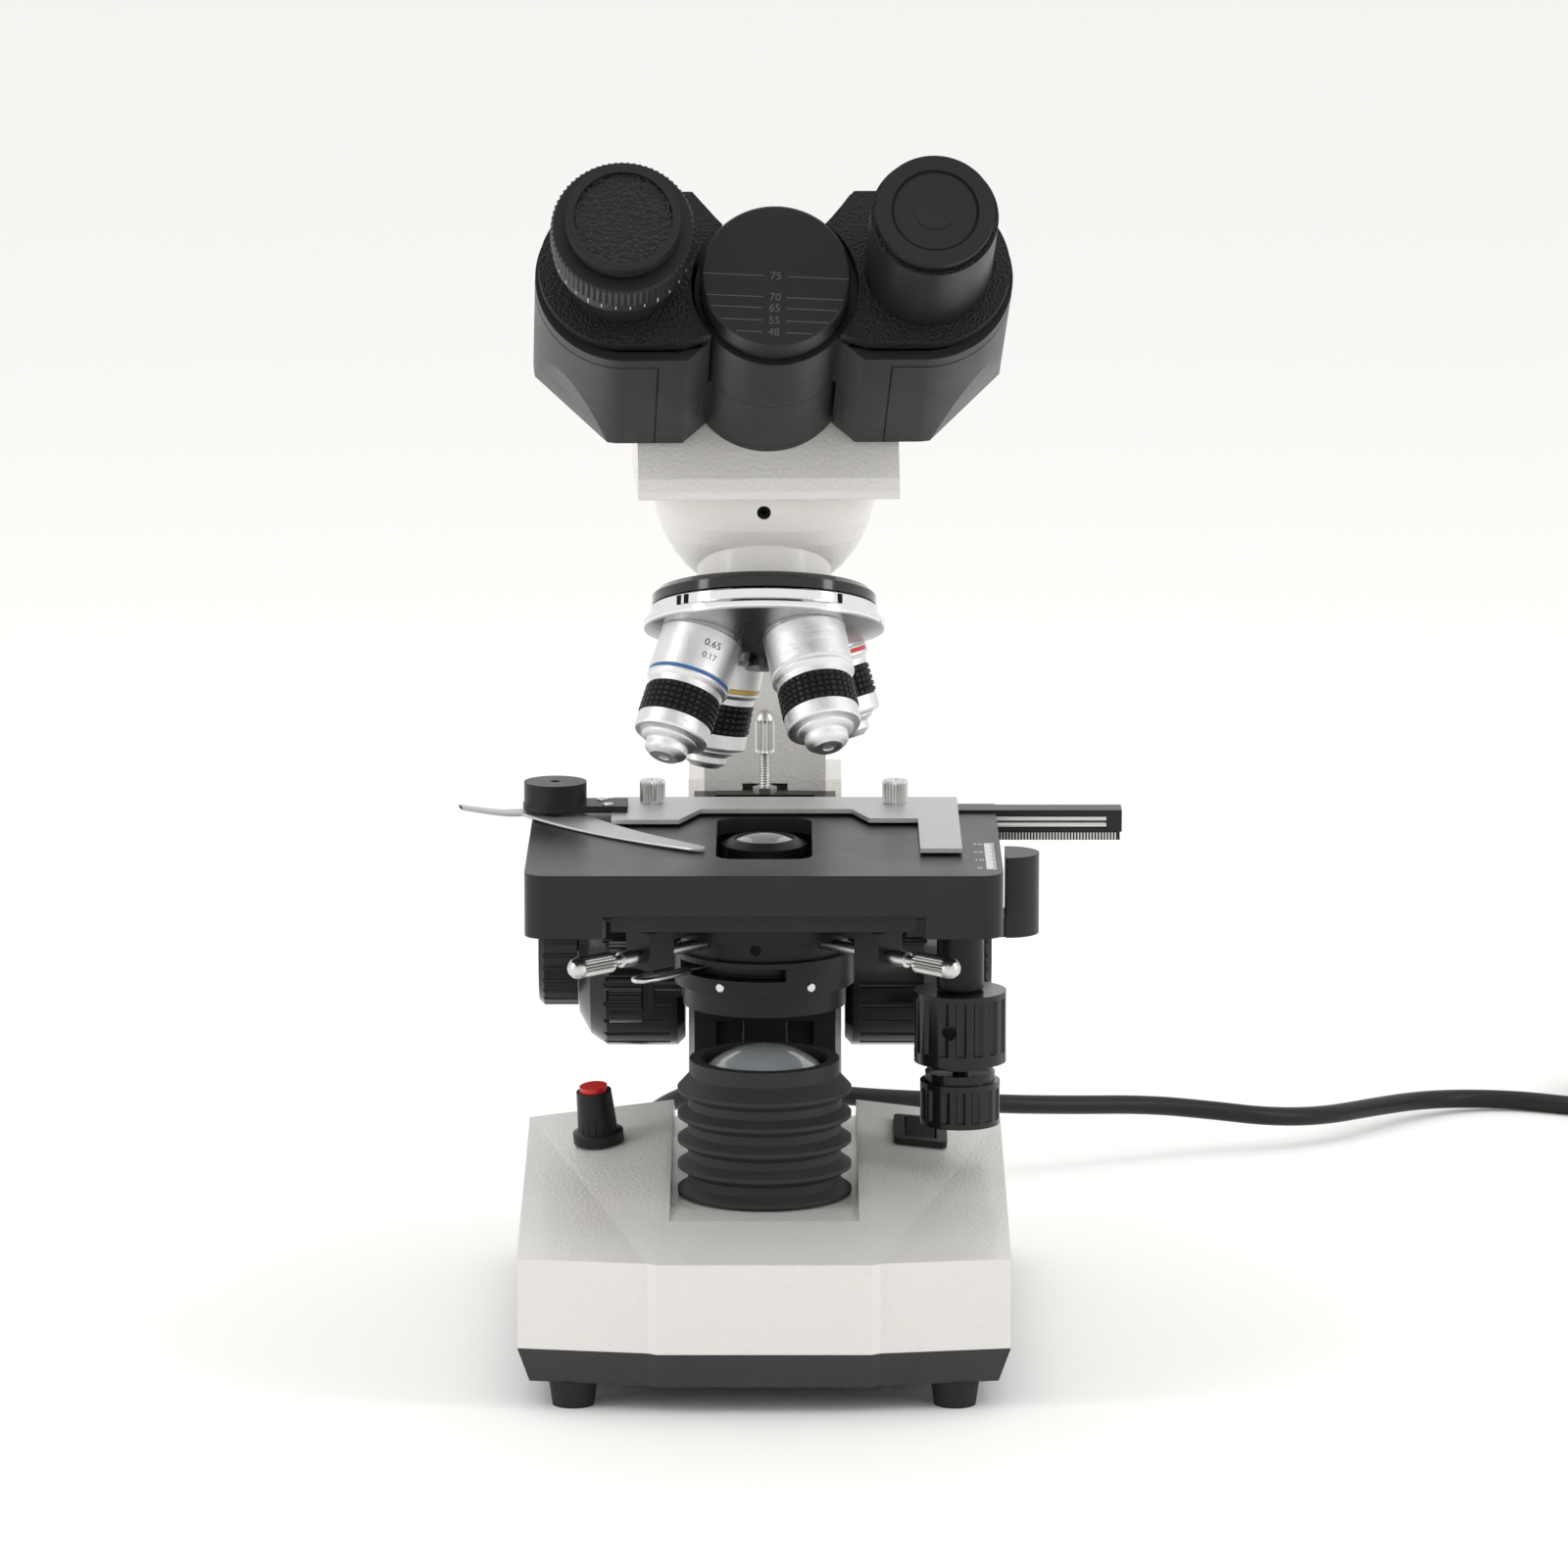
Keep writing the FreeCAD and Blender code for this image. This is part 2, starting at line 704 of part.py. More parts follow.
def arm_casting():
    steps = 10
    outline = [(0, seat_z - bowl_height)]
    for index in range(1, steps + 1):
        angle = math.pi / 2 * index / steps
        outline.append((bowl_radius * math.sin(angle), seat_z - bowl_height * math.cos(angle)))
    outline.append((0, seat_z))
    bowl = lathe(outline)
    boss = from_apex(rod(17.0, (0, 0, 10.0), (0, 0, cap_start)))
    above_cap = from_apex(rod(90.0, (0, 0, cap_start), (0, 0, 190.0)))
    front = bowl.fuse(boss).common(block((-40, 40), (-40, 40), (150, seat_z))).cut(above_cap)
    column = arm_column().cut(from_apex(rod(cap_radius + 3, (0, 0, cap_start), (0, 0, ring_end + 26))))
    arm = column.fuse(front)
    arm = arm.cut(rod(head_spigot_radius + running_gap, (0, 0, seat_z - head_spigot_depth - body_gap),
                      (0, 0, seat_z)))
    arm = arm.cut(rod(10.0, (0, 0, 180), (0, 0, seat_z)))
    arm = arm.cut(from_apex(rod(turret_pin_radius + running_gap, (0, 0, 27.0), (0, 0, cap_start + 1))))
    slot = block((-slot_half_width, slot_half_width), (arm_foot_y() - 1, focus_y + 6), (50, guide_top_z + 2))
    arm = arm.cut(slot)
    bore = rod(coarse_shaft_radius + running_gap, (-60, focus_y, focus_z), (60, focus_y, focus_z))
    arm = arm.cut(bore)
    return arm.cut(rod(1.75, (0, -40, seat_z - 4.1), (0, -head_spigot_radius, seat_z - 4.1)))


def head_clamp_screw():
    z = seat_z - 4.1
    inner = -head_spigot_radius - running_gap
    return rod(1.7, (0, inner - 6.0, z), (0, inner, z)).cut(rod(0.8, (0, inner - 6.0, z),
                                                                (0, inner - 3.5, z)))


def focus_guide():
    """Black dovetail guide on the arm's front, open in the middle for the rack."""
    rear = arm_front_y
    plate_y = rear - guide_plate
    high = guide_top_z
    guide = block((-guide_half_width, guide_half_width), (plate_y, rear), (guide_bottom_z, high))
    for side in (-1, 1):
        x = sorted((side * (guide_half_width - guide_rail_width), side * guide_half_width))
        guide = guide.fuse(block(x, (guide_front_y, plate_y), (guide_bottom_z, high)))
    return guide.cut(block((-slot_half_width, slot_half_width), (plate_y - 1, rear + 1), (0, high + 1)))


# ---------------------------------------------------------------- focus knobs

def coarse_knob():
    """Large knob about Z from its inner face outwards, bored for both shafts."""
    width = coarse_outer_x - coarse_inner_x
    cone_start = coarse_flange_x - coarse_inner_x
    cone_end = coarse_cone_x - coarse_inner_x
    knob = lathe([(0, 0), (coarse_radius - 2, 0), (coarse_radius, 2), (coarse_radius, width),
                  (coarse_radius - 3, cone_start), (fine_radius + 2, cone_end), (0, cone_end)])
    knob = fluted(knob, coarse_radius, flute_count, 1.1, 4.0, width + 1)
    knob = knob.cut(rod(coarse_shaft_radius + running_gap, (0, 0, 0), (0, 0, coarse_socket_depth)))
    return knob.cut(rod(fine_shaft_radius + running_gap, (0, 0, 0), (0, 0, cone_end + 1)))


def coarse_knobs():
    """Both knobs and the hollow shaft that joins them."""
    right = along(coarse_knob(), (coarse_inner_x, focus_y, focus_z), (1, 0, 0))
    left = along(coarse_knob(), (-coarse_inner_x, focus_y, focus_z), (-1, 0, 0))
    half = coarse_inner_x + coarse_socket_depth - slide_gap
    shaft = rod(coarse_shaft_radius, (-half, focus_y, focus_z), (half, focus_y, focus_z))
    shaft = shaft.cut(rod(fine_shaft_radius + running_gap, (-half, focus_y, focus_z),
                          (half, focus_y, focus_z)))
    return [left, right, shaft]


def fine_knob():
    start = body_gap
    width = fine_outer_x - coarse_cone_x
    knob = lathe([(0, start), (fine_radius, start), (fine_radius, width - 1.5),
                  (fine_radius - 1.5, width), (0, width)])
    knob = fluted(knob, fine_radius, flute_count, 0.8, start, width - 1.0)
    return knob.cut(rod(fine_shaft_radius + running_gap, (0, 0, 0), (0, 0, fine_socket_depth)))


def fine_knobs():
    """Both knobs and the thin shaft that runs through the coarse one."""
    right = along(fine_knob(), (coarse_cone_x, focus_y, focus_z), (1, 0, 0))
    left = along(fine_knob(), (-coarse_cone_x, focus_y, focus_z), (-1, 0, 0))
    half = coarse_cone_x + fine_socket_depth - slide_gap
    shaft = rod(fine_shaft_radius, (-half, focus_y, focus_z), (half, focus_y, focus_z))
    return [left, right, shaft]


# ---------------------------------------------------------------- stage carrier

def carrier_block():
    """Slides on the guide; its tongue carries the rack, its shelf holds the stage."""
    front_y = guide_front_y - 8.0
    low = 77.5
    top = lower_plate_bottom_z + lower_plate_thickness
    inner = guide_half_width - guide_rail_width - slide_gap
    tongue = slot_half_width - body_gap
    pinion_face = focus_y - coarse_shaft_radius - slide_gap
    body = block((-guide_half_width, guide_half_width), (front_y, guide_front_y - slide_gap), (low, top))
    parts = [
        block((-inner, inner), (guide_front_y - slide_gap, arm_front_y - guide_plate - slide_gap),
              (low, stop_seat_z())),
        block((-tongue, tongue), (front_y, pinion_face),
              (focus_z - rack_length_below, focus_z + rack_length_above)),
        block((-30, 30), (26, front_y + 1), (lower_plate_bottom_z - 6, lower_plate_bottom_z)),
        block((condenser_knob_x[1] + 0.2, -10), (front_y, front_y + 4), (84, 98)),
        block((condenser_knob_x[1] + 0.2, condenser_knob_x[1] + 0.2 + tab_thickness),
              (condenser_knob_y - 5, front_y + 4), (84, 98)),
    ]
    body = body.multiFuse(parts)
    opening = block((-60, 60), (20, front_y), (lower_plate_bottom_z, 200))
    body = body.cut(opening)
    pin = (condenser_knob_y, condenser_knob_z)
    body = body.cut(rod(condenser_shaft_radius + running_gap, (-50, *pin), (-20, *pin)))
    keyway = block((-condenser_slide_half_width - body_gap, condenser_slide_half_width + body_gap),
                   (20, front_y - 3.0), (lower_plate_bottom_z - 7, lower_plate_bottom_z + 1))
    body = body.cut(keyway)
    ring_space = rod(bracket_ring_radius + body_gap + 1, (0, 0, 100), (0, 0, lower_plate_bottom_z + 1))
    body = body.cut(ring_space)
    return body.cut(rod(stop_thread_radius + running_gap, (0, stop_screw_y, stop_seat_z() - 10),
                        (0, stop_screw_y, 200)))


def stop_seat_z():
    return lower_plate_bottom_z + stop_seat_rise


def stage_stop_screw():
    """Knurled screw that limits how high the stage can go, with its lock nut."""
    seat = stop_seat_z()
    y = stop_screw_y
    thread = rod(stop_thread_radius, (0, y, seat - 10), (0, y, stop_head_z))
    dome = Part.makeSphere(stop_head_radius, Vector(0, y, stop_top_z - stop_head_radius))
    head = rod(stop_head_radius, (0, y, stop_head_z), (0, y, stop_top_z - stop_head_radius))
    nut = rod(stop_nut_radius, (0, y, seat), (0, y, seat + stop_nut_height))
    return thread.multiFuse([dome, head, nut])


def stage_lower_plate():
    """Fixed plate with two rails for the top plate and the vernier lug at its right."""
    low = lower_plate_bottom_z
    high = low + lower_plate_thickness
    half = lower_plate_half_width
    plate = block((-half, half), (lower_plate_front_y, lower_plate_rear_y), (low, high))
    rear_notch = block((-60, 60), (guide_front_y - 8.0, 100), (low - 1, high + 1))
    plate = plate.cut(rear_notch)
    rail_top = stage_top_z - stage_slab - slide_gap
    for side in (-1, 1):
        x = (side * y_rail_x - y_rail_width / 2, side * y_rail_x + y_rail_width / 2)
        plate = plate.fuse(block(x, (y_rail_front_y, y_rail_rear_y), (high, rail_top)))
    plate = plate.cut(rod(lower_hole_radius, (0, 0, low - 1), (0, 0, high + 10)))
    inner_x = half - 2.4
    reach = block((inner_x, lug_x + 1), (lug_front_y + 1, lug_front_y + lug_length - 1),
                  (lug_bottom_z, low - 1.5))
    riser = block((inner_x, half), (lug_front_y + 1, lug_front_y + lug_length - 1), (lug_bottom_z, high))
    return plate.multiFuse([reach, riser, vernier_lug()])


def vernier_lug():
    """D-section post beside the stage: flat inside, rounded outside."""
    top = stage_top_z - 0.6
    middle = lug_front_y + lug_length / 2
    round_part = rod(lug_length / 2, (lug_x + lug_width - lug_length / 2, middle, lug_bottom_z),
                     (lug_x + lug_width - lug_length / 2, middle, top))
    keep = block((lug_x, lug_x + lug_width), (lug_front_y, lug_front_y + lug_length), (lug_bottom_z, top))
    return round_part.common(keep)


# ---------------------------------------------------------------- stage top

def rounded_plan(half_width, front, rear, radius):
    """Rectangle in plan with its two front corners rounded, as a face at height 0."""
    corner = math.sqrt(0.5) * radius
    points = {
        "left_rear": Vector(-half_width, rear, 0), "right_rear": Vector(half_width, rear, 0),
        "right_side": Vector(half_width, front + radius, 0), "right_front": Vector(half_width - radius,
                                                                                   front, 0),
        "left_front": Vector(-half_width + radius, front, 0), "left_side": Vector(-half_width,
                                                                                  front + radius, 0),
    }
    right_mid = Vector(half_width - radius + corner, front + radius - corner, 0)
    left_mid = Vector(-half_width + radius - corner, front + radius - corner, 0)
    edges = [
        Part.LineSegment(points["left_rear"], points["right_rear"]).toShape(),
        Part.LineSegment(points["right_rear"], points["right_side"]).toShape(),
        Part.Arc(points["right_side"], right_mid, points["right_front"]).toShape(),
        Part.LineSegment(points["right_front"], points["left_front"]).toShape(),
        Part.Arc(points["left_front"], left_mid, points["left_side"]).toShape(),
        Part.LineSegment(points["left_side"], points["left_rear"]).toShape(),
    ]
    return Part.Face(Part.Wire(edges))


def raised(face, low, high):
    solid = face.extrude(Vector(0, 0, high - low))
    solid.translate(Vector(0, 0, low))
    return solid


def stage_top_plate():
    """Slab with a deep skirt on three sides and a ledge behind for the travel bar."""
    bottom = stage_top_z - stage_height
    outer = rounded_plan(stage_half_width, stage_front_y, stage_rear_y, stage_corner)
    inner = rounded_plan(stage_half_width - stage_wall, stage_front_y + stage_wall, stage_rear_y + 2,
                         stage_corner - stage_wall)
    plate = raised(outer, bottom, stage_top_z).cut(raised(inner, bottom - 1, stage_top_z - stage_slab))
    cutout = skirt_cutout_half_width
    plate = plate.cut(block((-cutout, cutout), (stage_front_y - 1, stage_front_y + stage_wall + 1),
                            (bottom - 1, bottom + skirt_cutout_height)))
    plate = plate.cut(rounded_block((-hole_half_width, hole_half_width), (hole_front_y, hole_rear_y),
                                    (bottom, stage_top_z + 1), hole_corner))
    ledge_z = (lower_plate_bottom_z + lower_plate_thickness + 0.6, bar_bottom_z - rack_height - 0.4)
    ledge = block((-stage_half_width, stage_half_width), (stage_rear_y - 3, skirt_rear_y), ledge_z)
    wall = block((-stage_half_width, stage_half_width), (bar_front_y + bar_depth + slide_gap, skirt_rear_y),
                 (ledge_z[0], bar_top_z - 0.3))
    web = block((-stage_half_width, stage_half_width), (stage_rear_y - 3, stage_rear_y),
                (ledge_z[0], stage_top_z - 1))
    plate = plate.multiFuse([ledge, wall, web])
    return plate.cut(rod(column_radius + running_gap, (column_x, column_y, bottom),
                         (column_x, column_y, stage_top_z - stage_slab)))


def stage_control_column():
    """Tube under the stage's right side that the two coaxial knobs turn on."""
    top = stage_top_z - stage_slab
    centre = (column_x, column_y)
    column = rod(column_radius, (*centre, column_bottom_z), (*centre, top))
    return column.cut(rod(3.6, (*centre, column_bottom_z - 1), (*centre, top - 3)))


def y_drive_knob():
    """Upper coaxial knob: a sleeve that turns inside the column."""
    height = y_knob_top_z - y_knob_bottom_z
    knob = rod(y_knob_radius, (0, 0, 0), (0, 0, height))
    knob = fluted(knob, y_knob_radius, 16, 1.6, 3.0, height - 1.5)
    knob = knob.fuse(rod(3.5, (0, 0, height), (0, 0, height + 12)))
    knob = knob.fuse(rod(knob_neck_radius, (0, 0, -1.2), (0, 0, 0)))
    knob = knob.cut(rod(2.1, (0, 0, -3), (0, 0, height + 13)))
    knob = knob.cut(rod(1.85, (-3, -y_knob_radius - 1, 9.5), (-3, -4, 9.5)))
    knob.translate(Vector(column_x, column_y, y_knob_bottom_z))
    return knob


def x_drive_knob():
    """Lower coaxial knob on the thin inner spindle."""
    height = x_knob_top_z - x_knob_bottom_z
    knob = rod(x_knob_radius, (0, 0, 0), (0, 0, height - 2.4))
    knob = fluted(knob, x_knob_radius, 16, 1.4, 1.5, height - 4.0)
    knob = knob.fuse(rod(knob_neck_radius, (0, 0, height - 2.4), (0, 0, height)))
    knob = knob.fuse(rod(2.1 - running_gap, (0, 0, height), (0, 0, height + 40)))
    knob.translate(Vector(column_x, column_y, x_knob_bottom_z))
    return knob


# ---------------------------------------------------------------- slide holder

def x_travel_bar():
    """Bar with a grooved front face, two rods in the groove and a toothed rack below."""
    y = (bar_front_y, bar_front_y + bar_depth)
    bar = block((bar_left_x, bar_right_x), y, (bar_bottom_z, bar_top_z))
    middle = (bar_bottom_z + bar_top_z) / 2 - 0.3
    groove = (middle - bar_groove_height / 2, middle + bar_groove_height / 2)
    bar = bar.cut(block((bar_left_x + 4, bar_right_x - 4),
                        (bar_front_y - 1, bar_front_y + bar_groove_depth), groove))
    rods = [rod(bar_rod_radius, (bar_left_x + 3, bar_front_y + bar_groove_depth - 0.4, z),
                (bar_right_x - 3, bar_front_y + bar_groove_depth - 0.4, z))
            for z in (groove[0] + bar_rod_radius - bar_rod_sink, groove[1] - bar_rod_radius + bar_rod_sink)]
    rack = block((bar_left_x, bar_right_x - 0.5), (bar_front_y + 0.4, bar_front_y + 4),
                 (bar_bottom_z - rack_height, bar_bottom_z))
    bar = bar.multiFuse(rods + [rack])
    for x in thumbscrew_x:
        bar = bar.cut(rod(thumbscrew_stem_radius + running_gap, (x, thumbscrew_y, bar_top_z - 4),
                          (x, thumbscrew_y, bar_top_z + 1)))
    return bar


def slide_holder_plate():
    """Stamped plate whose notch grips the long edge of a slide and whose arm holds its end."""
    low = bar_top_z
    points = [
        (holder_left_x, holder_rear_y), (holder_left_x, holder_shoulder_y), (-22, holder_shoulder_y),
        (-16.5, holder_jaw_y), (22.5, holder_jaw_y), (27, holder_shoulder_y + 2), (holder_arm_x,
                                                                                   holder_shoulder_y + 2),
        (holder_arm_x, holder_arm_front_y), (holder_right_x, holder_arm_front_y), (holder_right_x,
                                                                                   holder_rear_y),
    ]
    plate = plan_prism(points, low, low + holder_thickness)
    for x in thumbscrew_x:
        plate = plate.cut(rod(thumbscrew_stem_radius + running_gap, (x, thumbscrew_y, low - 1),
                              (x, thumbscrew_y, low + 3)))
    return plate


def holder_thumbscrews():
    low = bar_top_z + holder_thickness
    screws = []
    for x in thumbscrew_x:
        head = fluted(rod(thumbscrew_radius, (0, 0, 0), (0, 0, thumbscrew_height)), thumbscrew_radius,
                      20, 0.4, -1, 9)
        stem = rod(thumbscrew_stem_radius, (0, 0, -holder_thickness - 3.5), (0, 0, 0))
        screw = head.fuse(stem)
        screw.translate(Vector(x, thumbscrew_y, low))
        screws.append(screw)
    return screws


def clip_pivot():
    """Black arm screwed over the holder's left end, with the round knob that the finger turns under."""
    low = bar_top_z + holder_thickness
    arm = block((pivot_x, holder_left_x + 4), (pivot_y - 6, pivot_y + 6), (low, low + 1.6))
    arm = arm.fuse(rod(8.4, (pivot_x, pivot_y, low), (pivot_x, pivot_y, low + 1.6)))
    knob = rod(pivot_knob_radius, (pivot_x, pivot_y, low + 1.6),
               (pivot_x, pivot_y, low + 1.6 + pivot_knob_height))
    pin = rod(2.0, (pivot_x, pivot_y, low - finger_thickness - 0.2), (pivot_x, pivot_y, low))
    dimple = rod(1.3, (pivot_x, pivot_y, low + pivot_knob_height), (pivot_x, pivot_y, low + 10))
    return arm.multiFuse([knob, pin]).cut(dimple)


def clip_finger():
    """Curved sprung blade that presses a slide's corner, with a lever tail."""
    low = bar_top_z + holder_thickness - slide_gap - finger_thickness
    pivot = Vector(pivot_x, pivot_y, 0)
    tip = Vector(*finger_tip, 0)
    path = tip - pivot
    across = Vector(-path.y, path.x, 0).normalize()
    bulge = pivot + path * 0.5 + across * -5.0
    root = 7.0
    edge_a = Part.Arc(pivot - across * root, bulge - across * 4.5, tip - across * 0.8).toShape()
    edge_b = Part.Arc(tip + across * 0.8, bulge + across * 4.5, pivot + across * root).toShape()
    closing = [Part.LineSegment(tip - across * 0.8, tip + across * 0.8).toShape(),
               Part.LineSegment(pivot + across * root, pivot - across * root).toShape()]
    blade = Part.Face(Part.Wire([edge_a, closing[0], edge_b, closing[1]])).extrude(Vector(0, 0,
                                                                                          finger_thickness))
    disc = rod(7.6, (pivot_x, pivot_y, 0), (pivot_x, pivot_y, finger_thickness))
    tail_end = Vector(*finger_tail, 0)
    tail_path = (tail_end - pivot).normalize()
    side = Vector(-tail_path.y, tail_path.x, 0) * 3.5
    corners = [pivot + side, pivot - side, tail_end - side * 0.6, tail_end + side * 0.6]
    tail = Part.Face(Part.makePolygon(corners + corners[:1])).extrude(Vector(0, 0, finger_thickness))
    finger = blade.multiFuse([disc, tail]).cut(rod(2.0 + running_gap, (pivot_x, pivot_y, -1),
                                                   (pivot_x, pivot_y, 5)))
    finger.translate(Vector(0, 0, low))
    return finger


# ---------------------------------------------------------------- condenser

def around(radius, angle, z):
    """A point at a radius and plan angle about the optical axis."""
    return (radius * math.cos(math.radians(angle)), radius * math.sin(math.radians(angle)), z)


def condenser_bracket():
    """Ring that holds the condenser, its rear slide, and the two blocks for the centring screws."""
    low, high = bracket_ring_z
    front_y = guide_front_y - 8.0
    body = ring(bracket_ring_radius, condenser_barrel_radius + 0.3, low, high)
    bore = condenser_slide_half_width
    arm = block((-bore, bore), (bracket_ring_radius - 3, condenser_slide_y + 1), (low, high))
    slide = block((-bore, bore), (condenser_slide_y, front_y - slide_gap), (condenser_slide_bottom_z, high))
    parts = [arm, slide]
    for angle in centring_angles:
        half = block_size / 2
        reach = block((bracket_ring_radius - 2, block_radius), (-2.5, 2.5), (high - 3.0, high))
        cube = block((block_radius - half, block_radius + half), (-half, half), (block_bottom_z, high))
        parts += [turned(piece, (0, 0, 0), Z_AXIS, angle) for piece in (reach, cube)]
    body = body.multiFuse(parts)
    for angle in centring_angles:
        body = body.cut(rod(centring_rod_radius + running_gap, around(block_radius - 10, angle, centring_z),
                            around(block_radius + 10, angle, centring_z)))
    return body


def centring_screws():
    screws = []
    for angle in centring_angles:
        head_start = centring_tip_radius - centring_head_length
        end = centring_tip_radius - centring_head_radius
        stem = rod(centring_rod_radius, around(condenser_barrel_radius + 0.1, angle, centring_z),
                   around(head_start, angle, centring_z))
        head = rod(centring_head_radius, around(head_start, angle, centring_z),
                   around(end, angle, centring_z))
        tip = Part.makeSphere(centring_head_radius, Vector(*around(end, angle, centring_z)))
        screws.append(stem.multiFuse([head, tip]))
    return screws


def condenser_barrel():
    """Stepped barrel: iris ring below, holder in the middle, cone with the top lens above."""
    low, ring_top = condenser_ring_z
    profile = [
        (condenser_ring_bore, low), (condenser_ring_radius, low), (condenser_ring_radius, ring_top),
        (condenser_barrel_radius, ring_top), (condenser_barrel_radius, condenser_barrel_top_z),
        (condenser_neck_radius, condenser_barrel_top_z + 1.5), (condenser_neck_radius, condenser_cone_z),
        (condenser_top_radius, condenser_cone_z + 4.0), (condenser_top_radius, condenser_top_z - 1.5),
        (condenser_glass_radius + 0.8, condenser_top_z), (condenser_glass_radius, condenser_top_z),
        (condenser_glass_radius, condenser_cone_z), (condenser_ring_bore - 3, condenser_barrel_top_z),
        (condenser_ring_bore, ring_top), (condenser_ring_bore, iris_z + iris_groove_half),
        (condenser_ring_bore + 2, iris_z + iris_groove_half), (condenser_ring_bore + 2,
                                                               iris_z - iris_groove_half),
        (condenser_ring_bore, iris_z - iris_groove_half),
    ]
    barrel = lathe(profile)
    slot_half = iris_wire_radius + 0.6
    slot = sector(condenser_ring_bore + 1, condenser_ring_radius + 5, iris_slot_span,
                  iris_z - slot_half, iris_z + slot_half)
    barrel = barrel.cut(turned(slot, (0, 0, 0), Z_AXIS, iris_angle - iris_slot_lead))
    pin_top = filter_pin_point(low + 1.0)
    pin = rod(filter_pin_radius, filter_pin_point(filter_z[0] - 1.0), pin_top)
    return barrel.fuse(pin)


def filter_pin_point(z):
    return around(filter_pin_orbit, filter_pin_angle, z)


def condenser_lens():
    """Thick plano-convex top lens."""
    low = condenser_cone_z + 3.0
    edge = condenser_glass_radius - running_gap
    rim = condenser_top_z - 0.4
    sag = 1.6
    sphere_radius = (edge ** 2 + sag ** 2) / (2 * sag)
    ball = Part.makeSphere(sphere_radius, Vector(0, 0, rim + sag - sphere_radius))
    return rod(edge, (0, 0, low), (0, 0, rim)).fuse(ball.common(rod(edge, (0, 0, rim), (0, 0, rim + sag))))


def iris_lever():
    """Wire handle on the iris ring."""
    ring_part = ring(condenser_ring_bore + 1.6, condenser_ring_bore + 0.4, iris_z - 1.0, iris_z + 1.0)
    wire = rod(iris_wire_radius, around(condenser_ring_bore + 1.0, iris_angle, iris_z),
               around(iris_length - 1, iris_angle, iris_z))
    ball = Part.makeSphere(iris_wire_radius, Vector(*around(iris_length - 1, iris_angle, iris_z)))
    return wire.multiFuse([ball, ring_part])


def filter_ring():
    """Swing-out filter holder on a pin at the condenser's rear left."""
    low, high = filter_z
    x, y, _ = filter_pin_point(0)
    ear = rod(3.0, (x, y, low), (x, y, high))
    body = ring(filter_radius, filter_bore, low, high).fuse(ear)
    lip = ring(filter_bore + 0.5, filter_bore - 1.2, low, low + 0.8)
    body = body.fuse(lip).cut(rod(filter_pin_radius + running_gap, (x, y, low - 1), (x, y, high + 1)))
    return body


def condenser_knob():
    """Ribbed wheel with its pinion shaft."""
    left, right = condenser_knob_x
    wheel = fluted(rod(condenser_knob_radius, (0, 0, 0), (0, 0, right - left)), condenser_knob_radius,
                   30, 0.6, -1, 20)
    wheel = wheel.fuse(rod(2.2, (0, 0, -1.2), (0, 0, 0)))
    shaft = rod(condenser_shaft_radius, (0, 0, right - left), (0, 0, right - left + 40))
    return along(wheel.fuse(shaft), (left, condenser_knob_y, condenser_knob_z), (1, 0, 0))


# ---------------------------------------------------------------- nosepiece

def nosepiece_cap():
    """Fixed black disc under the arm, with the pin that the turret turns on."""
    disc = lathe([(turret_pin_radius, cap_start), (cap_radius - 1.5, cap_start),
                  (cap_radius, cap_start + 1.5),
                  (cap_radius, cap_end), (turret_pin_radius, cap_end)])
    pin = rod(turret_pin_radius, (0, 0, 28.0), (0, 0, 57.0))
    light_y = -cap_end * math.tan(math.radians(turret_tilt))
    window = rod(9.0, (0, light_y, cap_start - 1), (0, light_y, cap_end + 1))
    return from_apex(disc.fuse(pin).cut(window))


def cone_depth(radius):
    """Distance from the apex to the turret's conical face, square to the objectives."""
    return rim_end + (rim_radius - radius) * math.tan(math.radians(objective_cone))


def objective_places():
    """Direction of each objective from the apex."""
    tilt = math.radians(turret_tilt)
    spread = math.radians(objective_cone)
    down = turret_direction()
    forward = Vector(0, -math.cos(tilt), math.sin(tilt))
    places = []
    for quarter in range(4):
        angle = math.radians(turret_rest_angle - 90 * quarter)
        out = X_AXIS * math.sin(angle) + forward * math.cos(angle)
        places.append(down * math.cos(spread) + out * math.sin(spread))
    return places


def nosepiece_turret():
    """Chrome ring and flared dish with four objective sockets."""
    gap = 0.25
    pin_hole = turret_pin_radius + running_gap
    dish = lathe([(pin_hole, cap_end + gap), (cap_radius - 0.6, cap_end + gap), (cap_radius - 0.6, ring_end),
                  (rim_radius, ring_end + 0.6), (rim_radius, rim_end), (10.0, cone_depth(10.0)),
                  (pin_hole, cone_depth(10.0))])
    dish = from_apex(dish)
    bosses = [along(rod(objective_radius, (0, 0, boss_start), (0, 0, socket_start)), (0, 0, apex_z),
                    tuple(place))
              for place in objective_places()]
    dish = dish.multiFuse(bosses)
    for place in objective_places():
        hole = along(rod(socket_radius, (0, 0, 30), (0, 0, 70)), (0, 0, apex_z), tuple(place))
        dish = dish.cut(hole)
    return dish


def objective_lengths(tip):
    """Named stations along an objective, from the apex."""
    front = tip
    nose = front - nose_length
    step = nose - nose_step_length + 1.0
    end_ring = step - end_ring_length
    grip = end_ring - grip_length
    return front, nose, step, end_ring, grip


